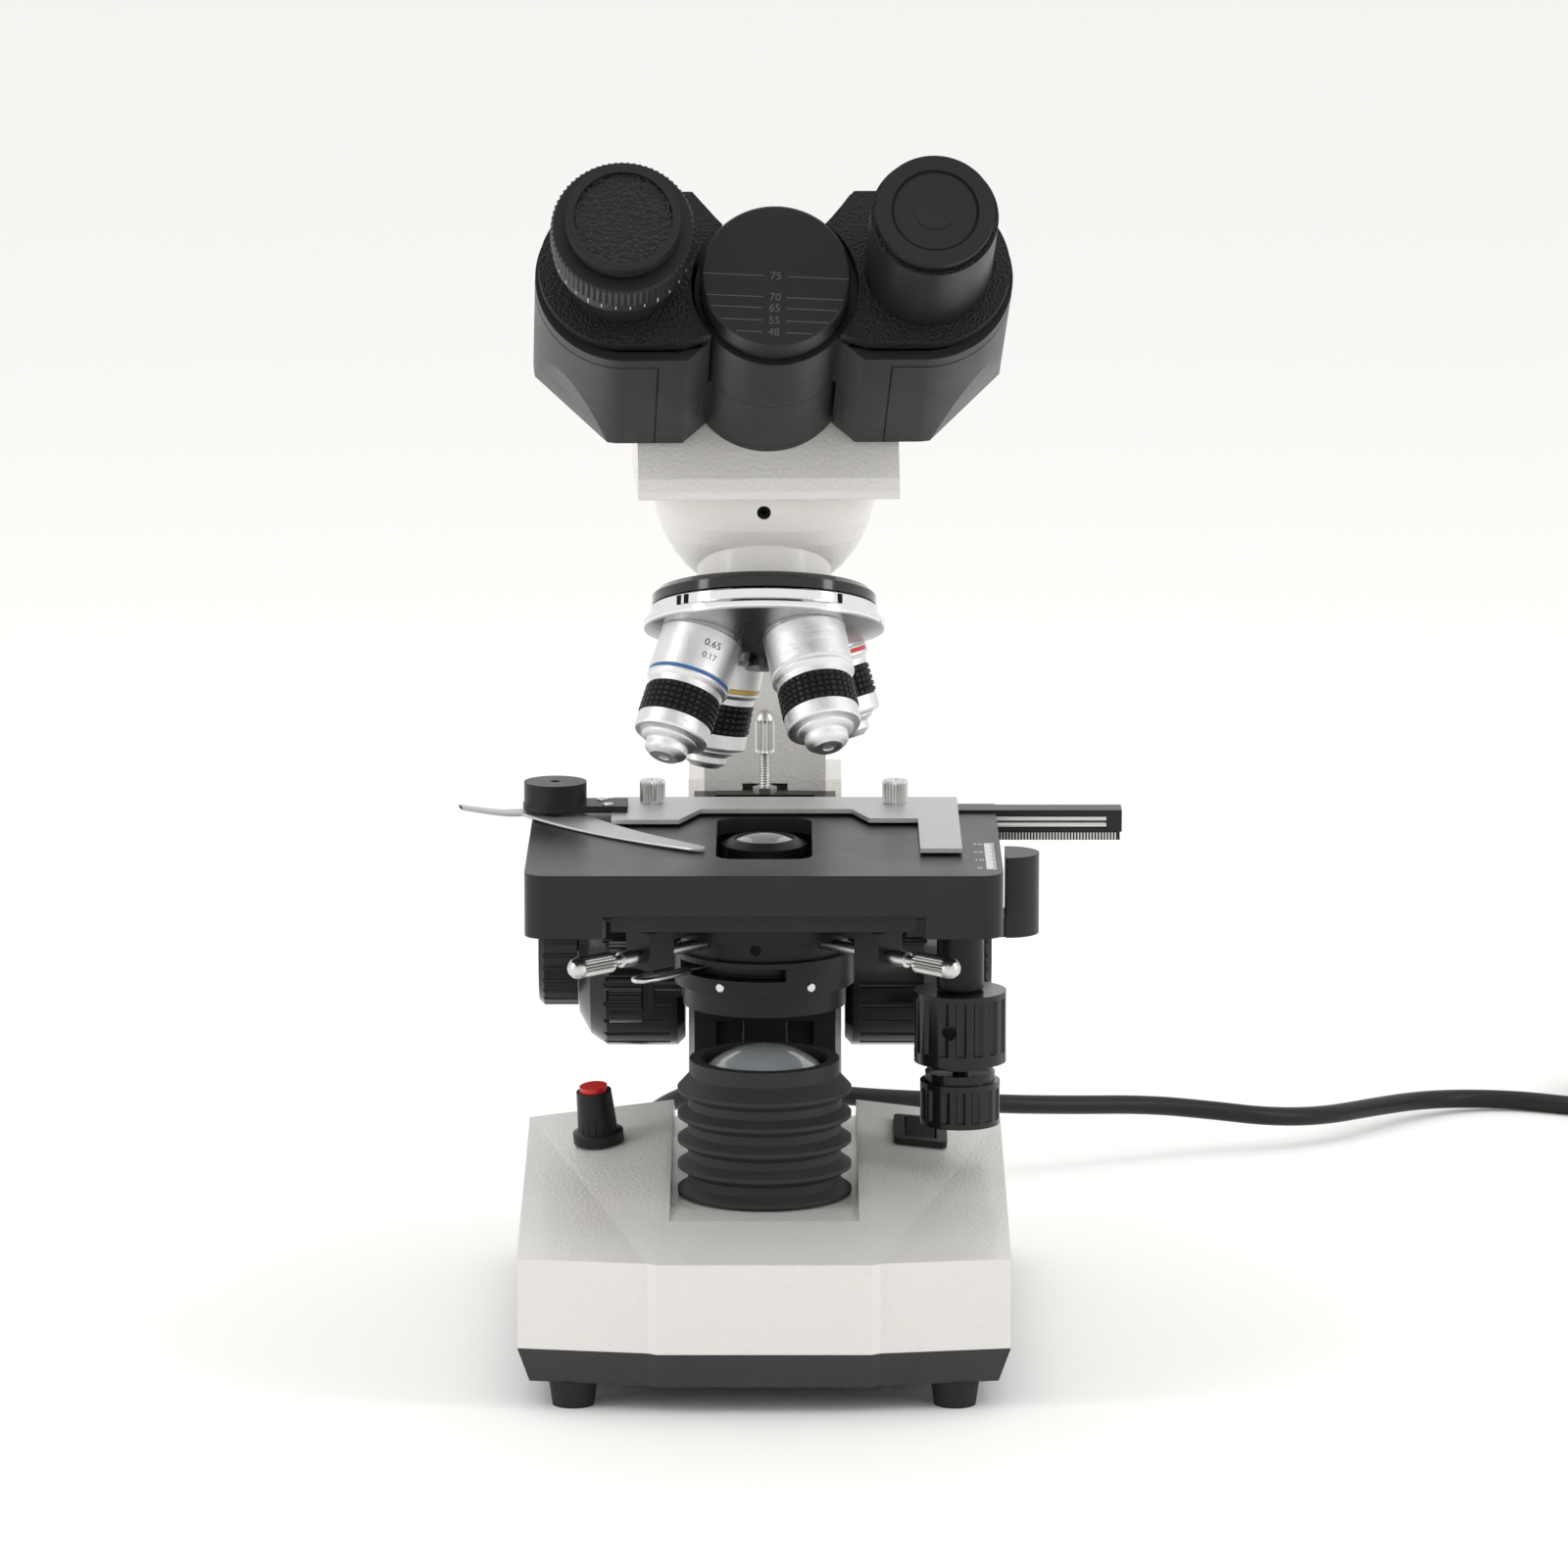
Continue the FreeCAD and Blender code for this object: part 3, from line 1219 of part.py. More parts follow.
def objective_barrel(tip):
    """Barrel from the turret down to the nose; the middle is turned down to carry the grip."""
    front, nose, step, end_ring, grip = objective_lengths(tip)
    core = grip_radius - 2.0
    profile = [
        (5.0, socket_start - spigot_length), (socket_radius - running_gap, socket_start - spigot_length),
        (socket_radius - running_gap, socket_start), (objective_radius,
                                                      socket_start), (objective_radius, grip - 2.6),
        (objective_neck_radius, grip - 1.4), (objective_neck_radius, grip), (core, grip), (core, end_ring),
        (objective_neck_radius, end_ring), (objective_neck_radius, step), (nose_radius, step + 0.6),
        (nose_radius, nose), (front_radius, nose + 1.0), (front_radius, front - 1.0),
        (front_radius - 1.6, front), (front_lens_radius, front), (front_lens_radius, nose), (5.0,
                                                                                             nose - 2.0),
    ]
    return lathe(profile)


def objective_grip(tip):
    _, _, _, end_ring, grip = objective_lengths(tip)
    return ring(grip_radius, grip_radius - 2.0 + running_gap, grip, end_ring)


def objective_lens(tip):
    _, nose, _, _, _ = objective_lengths(tip)
    return rod(front_lens_radius - running_gap, (0, 0, nose + 1.0), (0, 0, tip - 0.3))


def each_objective(maker):
    pairs = zip(objective_tips, objective_places())
    return [along(maker(tip), (0, 0, apex_z), tuple(place)) for tip, place in pairs]


# ---------------------------------------------------------------- head

def on_head(shape):
    """Head frame to the object's frame: x right, y up the face, z out along the tubes."""
    copy = shape.copy()
    tilt = FreeCAD.Rotation(X_AXIS, 90 - tube_elevation)
    yaw = FreeCAD.Rotation(Z_AXIS, head_yaw)
    place = FreeCAD.Placement(Vector(0, 0, head_height), yaw.multiply(tilt))
    copy.Placement = place.multiply(copy.Placement)
    return copy


def head_base():
    """White prism housing with a round spigot below and a sloping face for the hinge."""
    half = head_half_depth
    flange_top = seat_z + head_flange_height
    slope = math.tan(math.radians(90 - tube_elevation))
    face_z = head_height + mount_face / math.sin(math.radians(tube_elevation))
    front_top_y = (head_top_z - face_z) / slope
    front_low_y = (flange_top - face_z) / slope
    outline = [
        (-half, seat_z), (half, seat_z), (half, seat_z + 2), (half - 2, flange_top), (half - 2,
                                                                                      head_top_z - 18),
        (half - 18, head_top_z), (front_top_y, head_top_z), (front_low_y, flange_top), (-half, seat_z + 2),
    ]
    base = side_prism(outline, -head_half_width, head_half_width)
    base = base.fuse(rod(head_spigot_radius, (0, 0, seat_z - head_spigot_depth), (0, 0, seat_z)))
    half_prism = prism_size / 2 + 1.0
    base = base.cut(block((-half_prism, half_prism), (-half_prism, half_prism), (236, 262)))
    base = base.cut(rod(10.0, (0, 0, seat_z - 10), (0, 0, 240)))
    base = turned(base, (0, 0, 0), Z_AXIS, head_yaw)
    return base.cut(on_head(rod(hinge_pin_radius + running_gap, (0, 0, 8), (0, 0, mount_face + 1))))


def beam_prism():
    """Glass prism that bends the light from vertical into the tubes."""
    half = prism_size / 2
    glass = side_prism([(-half, 237), (half, 237), (half, 247), (-half + 4, 261), (-half, 261)], -half, half)
    glass = turned(glass, (0, 0, 0), Z_AXIS, head_yaw)
    return glass.cut(on_head(rod(hinge_pin_radius + 1, (0, 0, 8), (0, 0, mount_face + 1))))


def hinge_body():
    """Hollow pin and flange that both halves turn on."""
    pin = rod(hinge_pin_radius, (0, 0, 10), (0, 0, housing_end + 2))
    flange = rod(hub_radius, (0, 0, mount_face), (0, 0, hub_start - slide_gap))
    return on_head(pin.fuse(flange).cut(rod(hinge_bore, (0, 0, 9), (0, 0, housing_end + 1))))


def scale_disc():
    disc = lathe([(0, housing_end + 2), (hinge_pin_radius + 2, housing_end + 2),
                  (hinge_pin_radius + 2, housing_end + 0.4),
                  (disc_radius - 1, housing_end + 0.4), (disc_radius, housing_end + 1), (disc_radius,
                                                                                         disc_front - 0.6),
                  (disc_radius - 0.6, disc_front), (0, disc_front)])
    return on_head(disc)


def half_outline(inset, hub, sink=0.0):
    """Right half seen along the tube: round about the eyepiece, hollowed round the hub."""
    up = eye_offset_up
    radius = housing_radius - inset
    bottom = up - radius - sink
    top = up + radius
    x = eye_offset_x
    low_angle = math.radians(-39.5)
    high_angle = math.radians(52)
    arc_low = Vector(hub * math.cos(low_angle), hub * math.sin(low_angle), 0)
    arc_mid = Vector(hub, 0, 0)
    arc_high = Vector(hub * math.cos(high_angle), hub * math.sin(high_angle), 0)
    shoulder = Vector(22.5 + inset, bottom, 0)
    top_corner = Vector(20.0 + inset, top, 0)
    edges = [
        Part.Arc(arc_low, arc_mid, arc_high).toShape(),
        Part.LineSegment(arc_high, Vector(14.3 + inset, 18.0, 0)).toShape(),
        Part.LineSegment(Vector(14.3 + inset, 18.0, 0), top_corner).toShape(),
        Part.LineSegment(top_corner, Vector(x, top, 0)).toShape(),
        Part.Arc(Vector(x, top, 0), Vector(x + radius, up, 0), Vector(x, bottom, 0)).toShape(),
        Part.LineSegment(Vector(x, bottom, 0), shoulder).toShape(),
        Part.LineSegment(shoulder, arc_low).toShape(),
    ]
    return Part.Face(Part.Wire(edges))


def half_housing(hub_low, hub_high):
    """Shell of the right half, joined to its own length of the hub."""
    skin = raised(half_outline(housing_step, hub_clear_radius, housing_sink), hub_start, housing_end)
    inner = raised(half_outline(housing_step + housing_wall, hub_clear_radius + housing_wall, housing_sink),
                   hub_start + housing_wall,
                   housing_end + 1)
    skin = skin.cut(rear_facet(0)).cut(inner.cut(rear_facet(housing_wall)))
    hub = rod(hub_radius, (0, 0, hub_low), (0, 0, hub_high))
    web = raised(half_outline(housing_step, hub_radius - 2, housing_sink), hub_low, hub_high)
    web = web.common(rod(hub_clear_radius + housing_wall, (0, 0, hub_low), (0, 0, hub_high)))
    port = block((hinge_bore, 30), (-6, 6), (hub_low + 4, hub_low + 16))
    body = skin.multiFuse([hub, web]).cut(port)
    return body.cut(rod(hinge_pin_radius + running_gap, (0, 0, hub_low - 1), (0, 0, hub_high + 1)))


def rear_facet(inset):
    """Space outside a sloping plane that trims the rear outer corner of a housing."""
    outward = (X_AXIS - Y_AXIS).normalize()
    corner = Vector(eye_offset_x, eye_offset_up, hub_start + facet_length)
    corner = corner + outward * (housing_radius - housing_step)
    normal = (outward - Z_AXIS * (facet_depth / facet_length)).normalize()
    reach = 50.0
    space = block((-reach, reach), (-reach, reach), (0, reach))
    return along(space, corner - normal * inset, normal)


def half_prism(low):
    """Glass block that carries the beam out to one eyepiece."""
    return block((25.5, 45.0), (-4.0, 15.0), (low, low + 20.0))


def face_plate(tube_outer, tube_top, bore):
    """Textured cover with its eyepiece tube."""
    plate = raised(half_outline(0, hub_clear_radius), housing_end, plate_front)
    x, up = eye_offset_x, eye_offset_up
    tube = rod(tube_outer, (x, up, housing_end), (x, up, tube_top))
    return plate.fuse(tube).cut(rod(bore, (x, up, housing_end - 1), (x, up, tube_top + 1)))


def diopter_ring():
    x = -eye_offset_x
    outer = rod(diopter_radius, (0, 0, diopter_start), (0, 0, diopter_end))
    outer = fluted(outer, diopter_radius, 60, 0.45, diopter_start + 5.0, diopter_end + 1)
    hole = rod(inner_tube_radius + running_gap, (0, 0, diopter_start - 1), (0, 0, diopter_end + 1))
    body = outer.cut(hole)
    body.translate(Vector(x, eye_offset_up, 0))
    return on_head(body)


def eyepiece(side, tube_top, collar_radius):
    """Ocular barrel in the tube, hollow, with a collar resting on the tube's end."""
    x = side * eye_offset_x
    up = eye_offset_up
    barrel = rod(eyepiece_radius, (x, up, tube_top - eyepiece_depth), (x, up, tube_top))
    collar = rod(collar_radius, (x, up, tube_top), (x, up, tube_top + cap_rise))
    hollow = rod(eyepiece_bore, (x, up, tube_top - eyepiece_depth - 1), (x, up, tube_top - 3))
    return on_head(barrel.fuse(collar).cut(hollow))


def eyepiece_cap(side, low, front, radius, recess_radius, recess_depth):
    x = side * eye_offset_x
    up = eye_offset_up
    cap = rod(radius, (x, up, low), (x, up, front))
    return on_head(cap.cut(rod(recess_radius, (x, up, front - recess_depth), (x, up, front + 1))))


# ---------------------------------------------------------------- mains lead

def cord_path(points):
    """Straight runs joined by tangent arcs, each as large as its two runs allow."""
    points = [Vector(*point) for point in points]
    edges = []
    start = points[0]
    radii = []
    for before, corner, after in zip(points, points[1:], points[2:]):
        to_before = (before - corner)
        to_after = (after - corner)
        shorter = min(to_before.Length, to_after.Length)
        to_before.normalize()
        to_after.normalize()
        turn = math.pi - to_before.getAngle(to_after)
        setback = 0.45 * shorter
        radius = setback / math.tan(turn / 2)
        radii.append(radius)
        arc_start = corner + to_before * setback
        arc_end = corner + to_after * setback
        inward = (to_before + to_after).normalize()
        centre_distance = math.hypot(radius, setback)
        middle = corner + inward * (centre_distance - radius)
        edges.append(Part.LineSegment(start, arc_start).toShape())
        edges.append(Part.Arc(arc_start, middle, arc_end).toShape())
        start = arc_end
    edges.append(Part.LineSegment(start, points[-1]).toShape())
    print("lead radii", [round(radius, 1) for radius in radii])
    return Part.Wire(edges)


def power_cord():
    path = cord_path(cord_route)
    start = Vector(*cord_route[0])
    direction = Vector(*cord_route[1]) - start
    section = Part.Wire(Part.makeCircle(cord_radius, start, direction))
    tube = path.makePipeShell([section], True, False)
    wanted = math.pi * cord_radius ** 2 * path.Length
    print("lead length", round(path.Length, 1), "volume ratio", round(tube.Volume / wanted, 4))
    return tube


def cable_gland():
    """Tapered strain relief, its tail inside the casting's rear wall."""
    start = (gland_x, base_rear_y - 6, gland_z)
    wall = (gland_x, base_rear_y, gland_z)
    end = cord_route[0]
    tail = rod(gland_radius - 2, start, wall)
    flange = rod(gland_radius, wall, (gland_x, base_rear_y + 3, gland_z))
    taper = cone(gland_radius - 1, cord_radius + 0.6, (gland_x, base_rear_y + 3, gland_z), end)
    return tail.multiFuse([flange, taper])


def cord_coil():
    """Outer shape of the wound spare length."""
    x, y = coil_centre
    outer = rod(coil_mid_radius + coil_band / 2, (x, y, 0), (x, y, coil_height))
    return outer.cut(rod(coil_mid_radius - coil_band / 2, (x, y, -1), (x, y, coil_height + 1)))


def power_plug():
    """Two-pin plug lying on the table by the coil."""
    x, y = coil_centre
    x = x + coil_mid_radius + coil_band / 2 + 1.0
    low = 0.0
    body = rounded_block((x, x + plug_width), (y - plug_length / 2, y + plug_length / 2),
                         (low, plug_height), 5.0)
    pins = [rod(2.4, (x + plug_width / 2 + side * 9.5, y + plug_length / 2, plug_height / 2),
                (x + plug_width / 2 + side * 9.5, y + plug_length / 2 + 19,
                 plug_height / 2)) for side in (-1, 1)]
    return body.multiFuse(pins)


# ---------------------------------------------------------------- write every piece

def main():
    os.makedirs("parts", exist_ok=True)
    places = foot_places()
    save("base_shell", base_shell())
    save("bottom_plate", bottom_plate())
    save("rubber_feet", *[rubber_foot(x, y) for x, y in places])
    save("foot_screws", *[foot_screw(x, y) for x, y in places])
    save("illuminator_housing", illuminator_housing())
    save("collector_lens", collector_lens())
    save("power_board", power_board())
    save("lamp", lamp())
    save("dimmer_knob", dimmer_knob())
    save("dimmer_cap", dimmer_cap())
    save("switch_bezel", switch_bezel())
    save("switch_rocker", switch_rocker())
    save("arm_casting", arm_casting())
    save("head_clamp_screw", head_clamp_screw())
    save("focus_guide", focus_guide())
    save("coarse_knobs", *coarse_knobs())
    save("fine_knobs", *fine_knobs())
    save("carrier_block", carrier_block())
    save("stage_stop_screw", stage_stop_screw())
    save("stage_lower_plate", stage_lower_plate())
    save("stage_top_plate", stage_top_plate())
    save("stage_control_column", stage_control_column())
    save("y_drive_knob", y_drive_knob())
    save("x_drive_knob", x_drive_knob())
    save("x_travel_bar", x_travel_bar())
    save("slide_holder_plate", slide_holder_plate())
    save("holder_thumbscrews", *holder_thumbscrews())
    save("clip_pivot", clip_pivot())
    save("clip_finger", clip_finger())
    save("condenser_bracket", condenser_bracket())
    save("centring_screws", *centring_screws())
    save("condenser_barrel", condenser_barrel())
    save("condenser_lens", condenser_lens())
    save("iris_lever", iris_lever())
    save("filter_ring", filter_ring())
    save("condenser_knob", condenser_knob())
    save("nosepiece_cap", nosepiece_cap())
    save("nosepiece_turret", nosepiece_turret())
    save("objective_barrels", *each_objective(objective_barrel))
    save("objective_grips", *each_objective(objective_grip))
    save("objective_lenses", *each_objective(objective_lens))
    save("head_base", head_base())
    save("beam_prism", beam_prism())
    save("hinge_body", hinge_body())
    save("scale_disc", scale_disc())
    save("left_housing", on_head(mirrored(half_housing(hub_start, hub_seam - slide_gap))))
    save("right_housing", on_head(half_housing(hub_seam, housing_end)))
    save("left_prism", on_head(mirrored(half_prism(hub_start + 4))))
    save("right_prism", on_head(half_prism(hub_seam + 4)))
    save("left_face_plate", on_head(mirrored(left_plate())))
    save("right_face_plate", on_head(face_plate(tube_radius, tube_end, eyepiece_radius + running_gap)))
    save("diopter_ring", diopter_ring())
    save("left_eyepiece", eyepiece(-1, left_tube_end(), inner_tube_radius - 1))
    save("right_eyepiece", eyepiece(1, tube_end, right_cap_radius - 2))
    save("left_eyepiece_cap", eyepiece_cap(-1, left_tube_end() + cap_rise, left_cap_front,
                                           left_cap_radius, 12.0, 1.0))
    save("right_eyepiece_cap", eyepiece_cap(1, tube_end + cap_rise, right_cap_front, right_cap_radius,
                                            10.7, 0.4))
    save("cable_gland", cable_gland())
    save("power_cord", power_cord())
    save("cord_coil", cord_coil())
    save("power_plug", power_plug())


def left_tube_end():
    return diopter_end + 0.6


def left_plate():
    """Left cover: short wide collar, then the thin tube that the diopter ring turns on."""
    plate = face_plate(inner_tube_radius, left_tube_end(), eyepiece_radius + running_gap)
    x, up = eye_offset_x, eye_offset_up
    collar = rod(tube_radius - 1, (x, up, plate_front), (x, up, diopter_start - body_gap))
    return plate.fuse(collar.cut(rod(eyepiece_radius + running_gap, (x, up, 0), (x, up, 200))))


main()
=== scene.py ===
# %% [markdown]
# # A binocular laboratory microscope
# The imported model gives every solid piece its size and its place. This script adds the finishes,
# and the small shapes that give each piece away: knurls, threads, scales, engraved lines, a curved
# spring clip and the mains lead. Everything is in metres, and every new piece rides on a body.

# %% Load the frame
import math
import bpy
import numpy as np
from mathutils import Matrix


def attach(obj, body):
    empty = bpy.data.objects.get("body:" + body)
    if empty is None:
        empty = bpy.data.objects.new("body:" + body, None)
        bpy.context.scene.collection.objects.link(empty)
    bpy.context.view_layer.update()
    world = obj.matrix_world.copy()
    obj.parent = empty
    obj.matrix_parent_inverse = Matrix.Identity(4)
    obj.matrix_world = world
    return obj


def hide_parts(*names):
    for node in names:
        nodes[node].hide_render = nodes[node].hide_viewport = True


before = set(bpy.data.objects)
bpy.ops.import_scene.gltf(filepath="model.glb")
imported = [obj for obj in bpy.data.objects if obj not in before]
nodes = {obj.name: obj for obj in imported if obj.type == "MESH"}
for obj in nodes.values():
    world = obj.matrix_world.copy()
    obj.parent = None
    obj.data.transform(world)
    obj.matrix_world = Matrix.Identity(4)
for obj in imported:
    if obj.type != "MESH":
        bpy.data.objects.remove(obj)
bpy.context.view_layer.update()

MM = 0.001
print("pieces in the frame:", len(nodes))

# %% [markdown]
# ## The camera
# A long lens far from the object keeps the verticals calm, as in a catalogue picture. The camera
# stands a little above the eyepieces and looks down by about ten degrees.

# %% Camera
camera_place = (0.00505, -2.1953, 0.5565)
camera_pitch = math.radians(79.53)
lens_length, sensor_width = 199.6, 36
farthest_seen = 60
camera_data = bpy.data.cameras.new("camera")
camera_data.sensor_width = sensor_width
camera_data.lens = lens_length
camera_data.clip_end = farthest_seen
camera = bpy.data.objects.new("camera", camera_data)
camera.location = camera_place
camera.rotation_euler = (camera_pitch, 0, 0)
bpy.context.scene.collection.objects.link(camera)
bpy.context.scene.camera = camera
print("camera at", camera_place)

# %% [markdown]
# ## The mains lead
# A lead could be a chain of cylinders, but a single smooth spline is how a real one lies. Its first
# points are given: out of the gland, in a loose curve behind the base, and down to the table at the
# right. A loop adds the turns of the neat coil that holds the spare length, and a short tail runs
# from the coil to the plug. The spline then becomes a plain mesh tube.

# %% Mains lead
lead_radius = 2.7 * MM
lead_route = [
    (-36, 148, 21), (-35, 170, 24), (-22, 190, 28), (0, 199, 27), (26, 200, 24), (48, 202, 22.5),
    (66, 207, 20.5), (86, 217, 18), (109, 229, 15.5), (127, 235, 12.5), (144, 239, 9.6),
    (160, 248, 7.8), (177, 268, 6.2), (190, 282, 4.9), (204, 290.5, 3.6), (220, 291.5, 2.9),
    (236, 284, 2.75), (248.2, 279.4, 2.75),
]
lead_tail = [
    (266.1, 269.7, 13.5), (279, 265, 12.6), (294.2, 259.6, 11.2), (303.9, 259.7, 10.3),
    (312.9, 263.5, 9.5), (319.7, 270.3, 8.9), (323.5, 279.3, 8.5), (323.6, 284.6, 8.5),
]
coil_x, coil_y = 274.6, 301.6
coil_levels = [(33.0, 2.75), (27.4, 2.9), (27.4, 8.3), (33.0, 8.4), (27.4, 13.7), (33.0, 13.75)]
points_per_turn = 16
half_turn = points_per_turn / 2
first_angle = -110.5


def coil_points():
    """Each point turns by an equal angle; radius and height slide from one level to the next."""
    points = []
    for level, (radius, height) in enumerate(coil_levels):
        next_radius, next_height = coil_levels[min(level + 1, len(coil_levels) - 1)]
        for step in range(points_per_turn):
            late = max(0, step - half_turn) / half_turn
            share = 0.5 - 0.5 * math.cos(math.pi * late)
            angle = math.radians(first_angle + 360 * step / points_per_turn)
            reach = radius + (next_radius - radius) * share
            points.append((coil_x + reach * math.cos(angle), coil_y + reach * math.sin(angle),
                           height + (next_height - height) * share))
    return points


lead_curve = bpy.data.curves.new("mains_lead", "CURVE")
lead_curve.dimensions = "3D"
lead_curve.bevel_resolution = 6
lead_curve.resolution_u = 10
lead_curve.use_fill_caps = True
lead_points = lead_route + coil_points() + lead_tail
lead_spline = lead_curve.splines.new("NURBS")
lead_spline.points.add(len(lead_points) - 1)
for place, point in zip(lead_spline.points, lead_points):
    place.co = (point[0] * MM, point[1] * MM, point[2] * MM, 1)
lead_spline.order_u = 3
lead_spline.use_endpoint_u = True


def mesh_of(curve):
    """The curve as it stands, turned into a mesh by way of a passing object."""
    holder = bpy.data.objects.new(curve.name + "_curve", curve)
    bpy.context.scene.collection.objects.link(holder)
    evaluated = holder.evaluated_get(bpy.context.evaluated_depsgraph_get())
    mesh = bpy.data.meshes.new_from_object(evaluated)
    bpy.data.objects.remove(holder)
    return mesh


lead_line = [tuple(vertex.co) for vertex in mesh_of(lead_curve).vertices]
lead_curve.bevel_depth = lead_radius
lead_mesh = mesh_of(lead_curve)
lead_mesh.name = "mains_lead"
mains_lead = bpy.data.objects.new("mains_lead", lead_mesh)
bpy.context.scene.collection.objects.link(mains_lead)
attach(mains_lead, "stand")
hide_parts("power_cord", "cord_coil")
print("lead points:", len(lead_points))

# %% [markdown]
# ## Studio
# The background is a pale floor that runs far behind the object, so that its edge never shows. One
# wide light could do, but the blacks would look dull: a tall narrow light at each side lays a long
# highlight on them, and a wide one above washes the whites.

# %% Floor and lights
def area_light(name, place, aim, size, power):
    """A soft light of a width and a height at a place, turned so that it faces the aim."""
    data = bpy.data.lights.new(name, "AREA")
    data.shape = "RECTANGLE"
    data.size, data.size_y = size
    data.energy = power
    light = bpy.data.objects.new(name, data)
    direction = np.array(aim, float) - np.array(place, float)
    flat = math.hypot(direction[0], direction[1])
    light.location = place
    pitch, heading = math.atan2(flat, -direction[2]), math.atan2(-direction[0], direction[1])
    light.rotation_euler = (pitch, 0, heading)
    bpy.context.scene.collection.objects.link(light)


floor_side, floor_front, floor_back = 9, -6, 16
floor_corners = [(-floor_side, floor_front, 0), (floor_side, floor_front, 0),
                 (floor_side, floor_back, 0), (-floor_side, floor_back, 0)]
floor_mesh = bpy.data.meshes.new("floor")
floor_mesh.from_pydata(floor_corners, [], [(0, 1, 2, 3)])
floor = bpy.data.objects.new("floor", floor_mesh)
bpy.context.scene.collection.objects.link(floor)
floor_finish = bpy.data.materials.new("floor_white")
floor_finish.use_nodes = True
floor_shader = floor_finish.node_tree.nodes["Principled BSDF"]
floor_shader.inputs["Base Color"].default_value = (0.93, 0.925, 0.915, 1)
floor_shader.inputs["Roughness"].default_value = 0.8
floor_mesh.materials.append(floor_finish)

world = bpy.data.worlds.new("studio")
world.use_nodes = True
sky = world.node_tree.nodes["Background"]
sky.inputs["Color"].default_value = (1.0, 0.995, 0.985, 1)
sky.inputs["Strength"].default_value = 0.97
bpy.context.scene.world = world
bpy.context.scene.view_settings.view_transform = "Standard"
strip_size, strip_power, strip_aim = (0.25, 1.3), 5, (0, 0, 0.17)
area_light("left_softbox", (-1.3, -0.5, 0.75), strip_aim, strip_size, strip_power)
area_light("right_softbox", (1.3, -0.4, 0.75), strip_aim, strip_size, strip_power)
area_light("top_softbox", (0, 0.1, 1.5), (0, 0.02, 0), (1.6, 1.2), 3.5)

# %% [markdown]
# ## Finishes
# A finish could be one flat colour, but a real one has a grain you feel: the paint has a fine orange
# peel, moulded plastic has a soft texture, turned metal has fine lines. Each finish here is a small
# node tree on the piece's own coordinates: colour and roughness vary a little, a bump carries the
# grain, and a bevel node softens the edges as a mould or a file would. Dark finishes reflect less, or
# the bright room would turn every black to grey.

# %% Finish helper
slow_scale = 60
polish_rough = 0.12
dark_below, dark_specular, plain_specular = 0.1, 0.22, 0.5


def finish(name, colour, rough, metal=0.0, coat=0.0, grain=None, grain_depth=0.0, pebble=None,
           pebble_depth=0.0, mottle=0.15, edge=0.3, stretch=(1, 1, 1), coords="Object"):
    """Slow noise mottles colour and roughness; fine noise and cells make the bump."""
    material = bpy.data.materials.new(name)
    material.use_nodes = True
    tree = material.node_tree
    shader = tree.nodes["Principled BSDF"]
    shader.inputs["Metallic"].default_value = metal
    shader.inputs["Coat Weight"].default_value = coat
    shader.inputs["Coat Roughness"].default_value = polish_rough
    specular = plain_specular if max(colour) > dark_below else dark_specular
    shader.inputs["Specular IOR Level"].default_value = specular
    place = tree.nodes.new("ShaderNodeTexCoord")
    scale = tree.nodes.new("ShaderNodeMapping")
    scale.inputs["Scale"].default_value = stretch
    tree.links.new(place.outputs[coords], scale.inputs["Vector"])
    slow = tree.nodes.new("ShaderNodeTexNoise")
    slow.inputs["Scale"].default_value = slow_scale
    slow.inputs["Detail"].default_value = 4
    tree.links.new(scale.outputs["Vector"], slow.inputs["Vector"])
    tint = tree.nodes.new("ShaderNodeMapRange")
    tint.inputs["To Min"].default_value = 1 - mottle
    tint.inputs["To Max"].default_value = 1 + mottle
    tree.links.new(slow.outputs["Fac"], tint.inputs["Value"])
    shade = tree.nodes.new("ShaderNodeVectorMath")
    shade.operation = "SCALE"
    shade.inputs[0].default_value = colour
    tree.links.new(tint.outputs["Result"], shade.inputs["Scale"])
    tree.links.new(shade.outputs["Vector"], shader.inputs["Base Color"])
    wear = tree.nodes.new("ShaderNodeMapRange")
    wear.inputs["To Min"].default_value = rough * 0.8
    wear.inputs["To Max"].default_value = min(1, rough * 1.25)
    tree.links.new(slow.outputs["Fac"], wear.inputs["Value"])
    tree.links.new(wear.outputs["Result"], shader.inputs["Roughness"])
    normal = None
    if edge:
        soft_edge = tree.nodes.new("ShaderNodeBevel")
        soft_edge.samples = 4
        soft_edge.inputs["Radius"].default_value = edge * MM
        normal = soft_edge.outputs["Normal"]
    for kind, frequency, depth in (("grain", grain, grain_depth), ("pebble", pebble, pebble_depth)):
        if not frequency:
            continue
        texture = tree.nodes.new("ShaderNodeTexNoise" if kind == "grain" else "ShaderNodeTexVoronoi")
        texture.inputs["Scale"].default_value = frequency
        tree.links.new(scale.outputs["Vector"], texture.inputs["Vector"])
        bump = tree.nodes.new("ShaderNodeBump")
        bump.inputs["Distance"].default_value = depth * MM
        tree.links.new(texture.outputs["Fac" if kind == "grain" else "Distance"], bump.inputs["Height"])
        if normal:
            tree.links.new(normal, bump.inputs["Normal"])
        normal = bump.outputs["Normal"]
    if normal:
        tree.links.new(normal, shader.inputs["Normal"])
    return material


def wear_finish(material, *names):
    """Puts a finish on CAD nodes."""
    for name in names:
        node = nodes[name]
        node.data.materials.clear()
        node.data.materials.append(material)


# %% [markdown]
# ## Which piece wears which finish
# The whites are one paint. The blacks differ by how they are made: moulded shells are soft, cast and
# sprayed plates are even, knobs are glossy. Grain depths and edges are in
# millimetres, and grain scales count cells in a metre.

